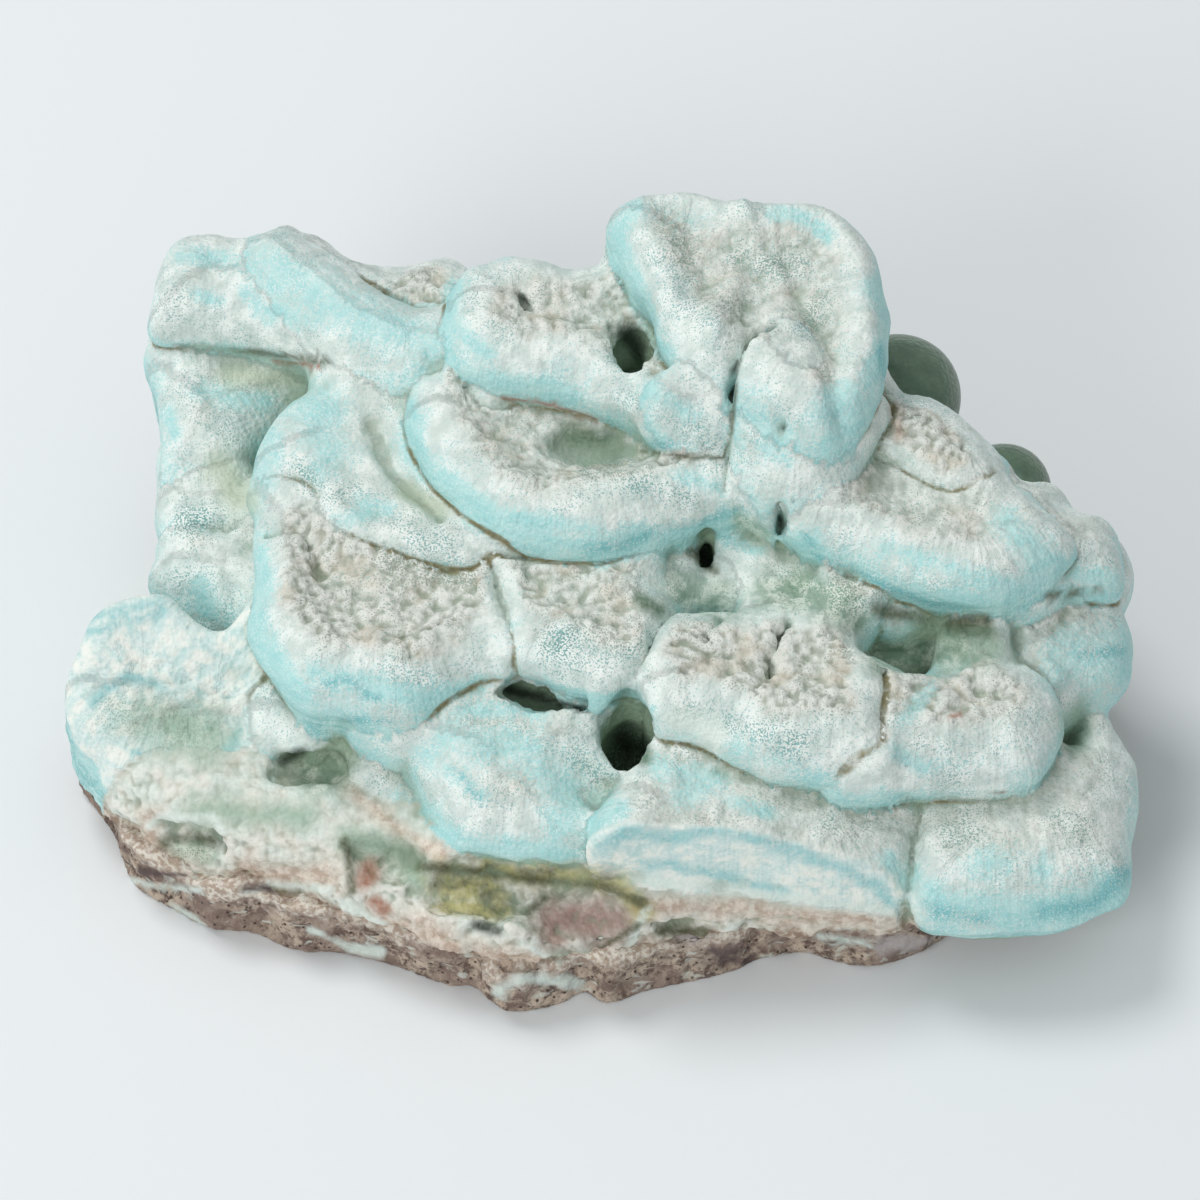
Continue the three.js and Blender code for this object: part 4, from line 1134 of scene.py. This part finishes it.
class AragoniteLook(Look):
    """The crust's material. Its parts share some noises and the values on the vertices."""

    def __init__(self):
        super().__init__("aragonite")
        add, times, step = self.add, self.times, self.step
        self.level, self.inset, self.grain = (self.value(name) for name in ("level", "inset", "grain"))
        self.pit, self.front, self.section = (self.value(name) for name in ("pit", "front", "section"))
        self.seen = self.rest(self.value("hidden"))
        self.clumps, self.strands = self.noise(2.6, 3), self.fibres(1.1, 9)
        self.fine, self.stipple = self.noise(0.5, 1.5), self.noise(0.24, 1)
        self.porous = add(step(self.noise(6, 2), 0.35, 0.8, 0.0, 0.6), times(self.stroke("porous"), 0.6))
        self.pores = step(add(self.stipple, times(self.porous, -0.17)), 0.28, 0.4, 1.0, 0.0)
        colour = self.sunken(self.stroked(self.broken(self.coated())))
        self.finish(colour, step(self.value("dome"), 0, 1, 0.62, 0.3))
        foot = self.math("SUBTRACT", self.front, self.section)
        self.bump(self.cells(0.7), 0.16, 0.7)
        self.bump(self.strands, 0.5, times(step(self.inset, 7, 10, 0.5, 0.0), self.rest(foot)))
        self.bump(self.noise(0.9, 3), 0.35, step(self.grain, 0.0, 0.8, 0.25, 0.9))

    def stroke(self, name):
        return self.times(self.value(name), self.seen)

    def coated(self):
        """The white sugary coat, thick on top and thin down the sides, where the blue shows through."""
        add, times, step, mix, swing = self.add, self.times, self.step, self.mix, self.swing
        patches = self.noise(9)
        height = add(self.level, add(swing(patches, 1.3), swing(self.clumps, 0.9)))
        coat = self.math("MAXIMUM", step(height, -0.2, 1.0), times(self.grain, 0.95))
        coat = self.math("MAXIMUM", coat, step(add(self.inset, times(patches, 4)), 5.5, 9.0, 0.0, 0.85))
        coat = add(coat, add(times(self.stroke("aqua"), -0.85), self.stroke("frosted")))
        ragged = add(swing(self.fine, 0.9), swing(self.stipple, 1.1))
        ragged = add(coat, add(ragged, swing(self.strands, 0.6)))
        blue = mix(step(self.level, -0.9, 0.5), rgb(132, 194, 194), rgb(166, 218, 217))
        blue = mix(step(self.noise(3.5, 2, (1, 1, 2.5)), 0.35, 0.7), blue, rgb(184, 226, 223))
        # Teal: deeper turquoise, partly painted shade under the lips
        blue = mix(times(self.stroke("teal"), 0.8), blue, rgb(112, 186, 190))
        blue = mix(step(self.stipple, 0.5, 0.7, 0.0, 0.5), blue, rgb(224, 241, 237))
        white = mix(step(self.clumps, 0.35, 0.65), rgb(238, 244, 239), rgb(208, 220, 214))
        sugar = mix(self.pores, white, mix(self.porous, rgb(184, 210, 206), rgb(118, 164, 160)))
        lumpy = mix(step(self.pit, -0.12, 0.18), rgb(228, 229, 221), rgb(148, 150, 132))
        sugar = mix(times(self.grain, 0.75), sugar, mix(self.pores, lumpy, rgb(164, 166, 148)))
        cream = times(self.grain, step(self.noise(4, 3), 0.45, 0.7))
        sugar = mix(times(cream, 0.45), sugar, rgb(206, 192, 170))
        return mix(step(ragged, -0.1, 0.95), blue, sugar)

    def broken(self, colour):
        """The broken front: white fibres with blue bands at its top, beige and green below."""
        add, times, step, mix, swing = self.add, self.times, self.step, self.mix, self.swing
        fibre = step(add(self.fibres(0.55, 9), swing(self.fine, 0.7)), 0.25, 0.75)
        section = mix(fibre, rgb(194, 221, 217), rgb(224, 238, 234))
        section = mix(step(self.noise(2.2, 5, harsh=0.65), 0.42, 0.62), section, rgb(240, 243, 235))
        section = mix(times(times(self.pores, 0.8), self.stroke("porous")), section, rgb(146, 178, 164))
        section = mix(times(self.stroke("teal"), add(self.fine, 0.1)), section, rgb(126, 196, 200))
        colour = mix(self.value("face"), colour, section)
        front = mix(step(self.noise(3, 3), 0.35, 0.65), rgb(198, 214, 204), rgb(220, 214, 202))
        hollow, raised = mix(0.5, front, rgb(136, 138, 116)), mix(self.fine, front, rgb(240, 242, 234))
        front = mix(step(self.pit, -0.1, 0.16), raised, hollow)
        colour = mix(self.front, colour, mix(self.section, front, section))
        low = step(add(self.height(), swing(self.clumps, 5)), 8.5, 12, 1.0, 0.0)
        soiled = mix(step(self.noise(1.3, 4), 0.4, 0.6), rgb(150, 128, 110), rgb(214, 202, 186))
        return mix(times(self.front, low), colour, soiled)

    def stroked(self, colour):
        """Colours that keep to a place; some of these strokes are painted shade and painted light, as
        marked.
        """
        step, mix, earth = self.step, self.mix, self.noise(1.6, 5, harsh=0.7)
        tints = {
            "blush": mix(step(earth, 0.4, 0.6), rgb(186, 158, 138), rgb(228, 212, 196)),
            "green": rgb(150, 178, 156),
            # Moss: partly the hollows' own green, partly painted shade
            "moss": rgb(84, 112, 82),
            "sage": rgb(192, 203, 178),
            "olive": mix(step(self.clumps, 0.35, 0.6), rgb(110, 106, 58), rgb(184, 176, 108)),
            "mauve": mix(self.clumps, rgb(128, 92, 86), rgb(176, 138, 126)),
            "rust": rgb(162, 104, 78),
            # Lip: pale white of lips, and in part painted light on a front facing down
            "lip": rgb(226, 238, 230),
            # Painted shade: the dark olive of the strokes under overhangs and in slots
            "olive_shade": rgb(84, 88, 58),
        }
        for name, tint in tints.items():
            colour = mix(self.stroke(name), colour, mix(self.times(self.fine, 0.35), tint, colour))
        return colour

    def sunken(self, colour):
        """Olive creases, grey-green painted shade in valleys, green depths darkened by painted shade, and
        the glassy domes.
        """
        add, times, step, mix = self.add, self.times, self.step, self.mix
        # Painted shade: grey-green laid into the valleys of the mesh
        valley = step(self.value("valley"), 0.1, 0.65)
        colour = mix(times(valley, 0.55), colour, rgb(138, 158, 136))
        line = times(step(self.value("crease"), 0.35, 0.8), step(self.pit, -0.1, 0.03))
        olive = mix(self.fine, rgb(96, 92, 58), rgb(156, 148, 108))
        colour = mix(times(line, step(self.clumps, 0.3, 0.55, 0.35, 0.95)), colour, olive)
        # Green in the hollows, darker further down: partly their own green, partly painted shade
        depth = add(self.value("depth"), self.swing(self.noise(3.5, 5, harsh=0.65), 0.5))
        deep = mix(step(depth, 0.35, 1.0), rgb(146, 168, 144), rgb(62, 80, 60))
        deep = mix(step(self.stipple, 0.5, 0.7, 0.0, 0.35), deep, rgb(176, 194, 176))
        colour = mix(step(depth, 0.08, 0.3), colour, deep)
        frost = mix(add(self.pores, step(self.clumps, 0.4, 0.6)), rgb(208, 218, 202), rgb(132, 158, 136))
        colour = mix(times(self.stroke("pale"), 0.8), colour, frost)
        colour = mix(times(self.stroke("shade"), 0.85), colour, rgb(26, 34, 22))
        glassy = mix(self.noise(2, 3), rgb(66, 92, 76), rgb(112, 136, 112))
        return mix(self.value("dome"), colour, glassy)


def rock_look():
    look = Look("rock")
    mix, step = look.mix, look.step
    grains = mix(step(look.noise(2.2, 9, harsh=0.75), 0.42, 0.58), rgb(98, 80, 71), rgb(196, 179, 161))
    grains = mix(step(look.noise(6, 6, harsh=0.6), 0.4, 0.62, 0.0, 0.75), grains, rgb(136, 116, 106))
    grains = mix(step(look.cells(1.1), 0.1, 0.28), rgb(64, 52, 46), grains)
    pale = step(look.add(look.height(), look.swing(look.noise(2.6, 4), 9)), 6.5, 9.5)
    crust = mix(step(look.noise(0.7, 3), 0.4, 0.6), rgb(176, 158, 142), rgb(222, 214, 202))
    grains = mix(pale, grains, crust)
    grains = mix(step(look.noise(3.2, 4, (1, 1, 2)), 0.6, 0.7, 0.0, 0.8), grains, rgb(206, 208, 198))
    fine = look.noise(1, 2)
    grains = mix(look.value("white"), grains, mix(fine, rgb(222, 230, 224), rgb(196, 208, 198)))
    grains = mix(look.value("dark"), grains, mix(fine, rgb(72, 58, 58), rgb(110, 94, 90)))
    grains = mix(look.value("lilac"), grains, rgb(176, 168, 166))
    look.finish(grains, 0.85)
    look.bump(look.noise(0.8, 4), 0.35, 0.8)
    return look


def table_look():
    look = Look("table")
    look.finish(rgb(238, 242, 244), 0.95)
    return look


for piece, look, node, slot in (
    (crust, AragoniteLook(), "aragonite_crust", "aragonite"),
    (rock, rock_look(), "rock_matrix", "matrix_rock"),
):
    piece.data.materials.append(look.material)
    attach(piece, "root")
    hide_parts(node)

# Table, light and view
bpy.ops.mesh.primitive_plane_add(size=TABLE_SIZE)
table = bpy.context.object
table.name = "table"
table.data.materials.append(table_look().material)


def soft_light(name, place, size, power):
    light = bpy.data.lights.new(name, "AREA")
    light.shape = "DISK"
    light.size = size
    light.energy = power
    lamp = bpy.data.objects.new(name, light)
    lamp.location = place
    lamp.rotation_euler = (LIT_PLACE - Vector(place)).to_track_quat("-Z", "Y").to_euler()
    bpy.context.scene.collection.objects.link(lamp)


soft_light("key", (-0.42, 0.36, 1.1), 0.5, 5.5)
soft_light("front", (-0.75, -0.95, 0.75), 0.7, 6.5)

world = bpy.data.worlds.new("world")
bpy.context.scene.world = world
world.use_nodes = True
world.node_tree.nodes["Background"].inputs["Color"].default_value = SKY_COLOUR
world.node_tree.nodes["Background"].inputs["Strength"].default_value = SKY_STRENGTH

camera = bpy.data.cameras.new("camera")
camera.sensor_width = SENSOR_WIDTH
camera.lens = SENSOR_WIDTH * FOCAL_PX / PICTURE_PX
viewer = bpy.data.objects.new("camera", camera)
viewer.location = Vector(VIEW_EYE * MM)
viewer.rotation_euler = Matrix([(1, 0, 0), VIEW_UP, VIEW_BACK]).transposed().to_euler()
bpy.context.scene.collection.objects.link(viewer)
bpy.context.scene.camera = viewer
bpy.context.scene.view_settings.view_transform = "Standard"
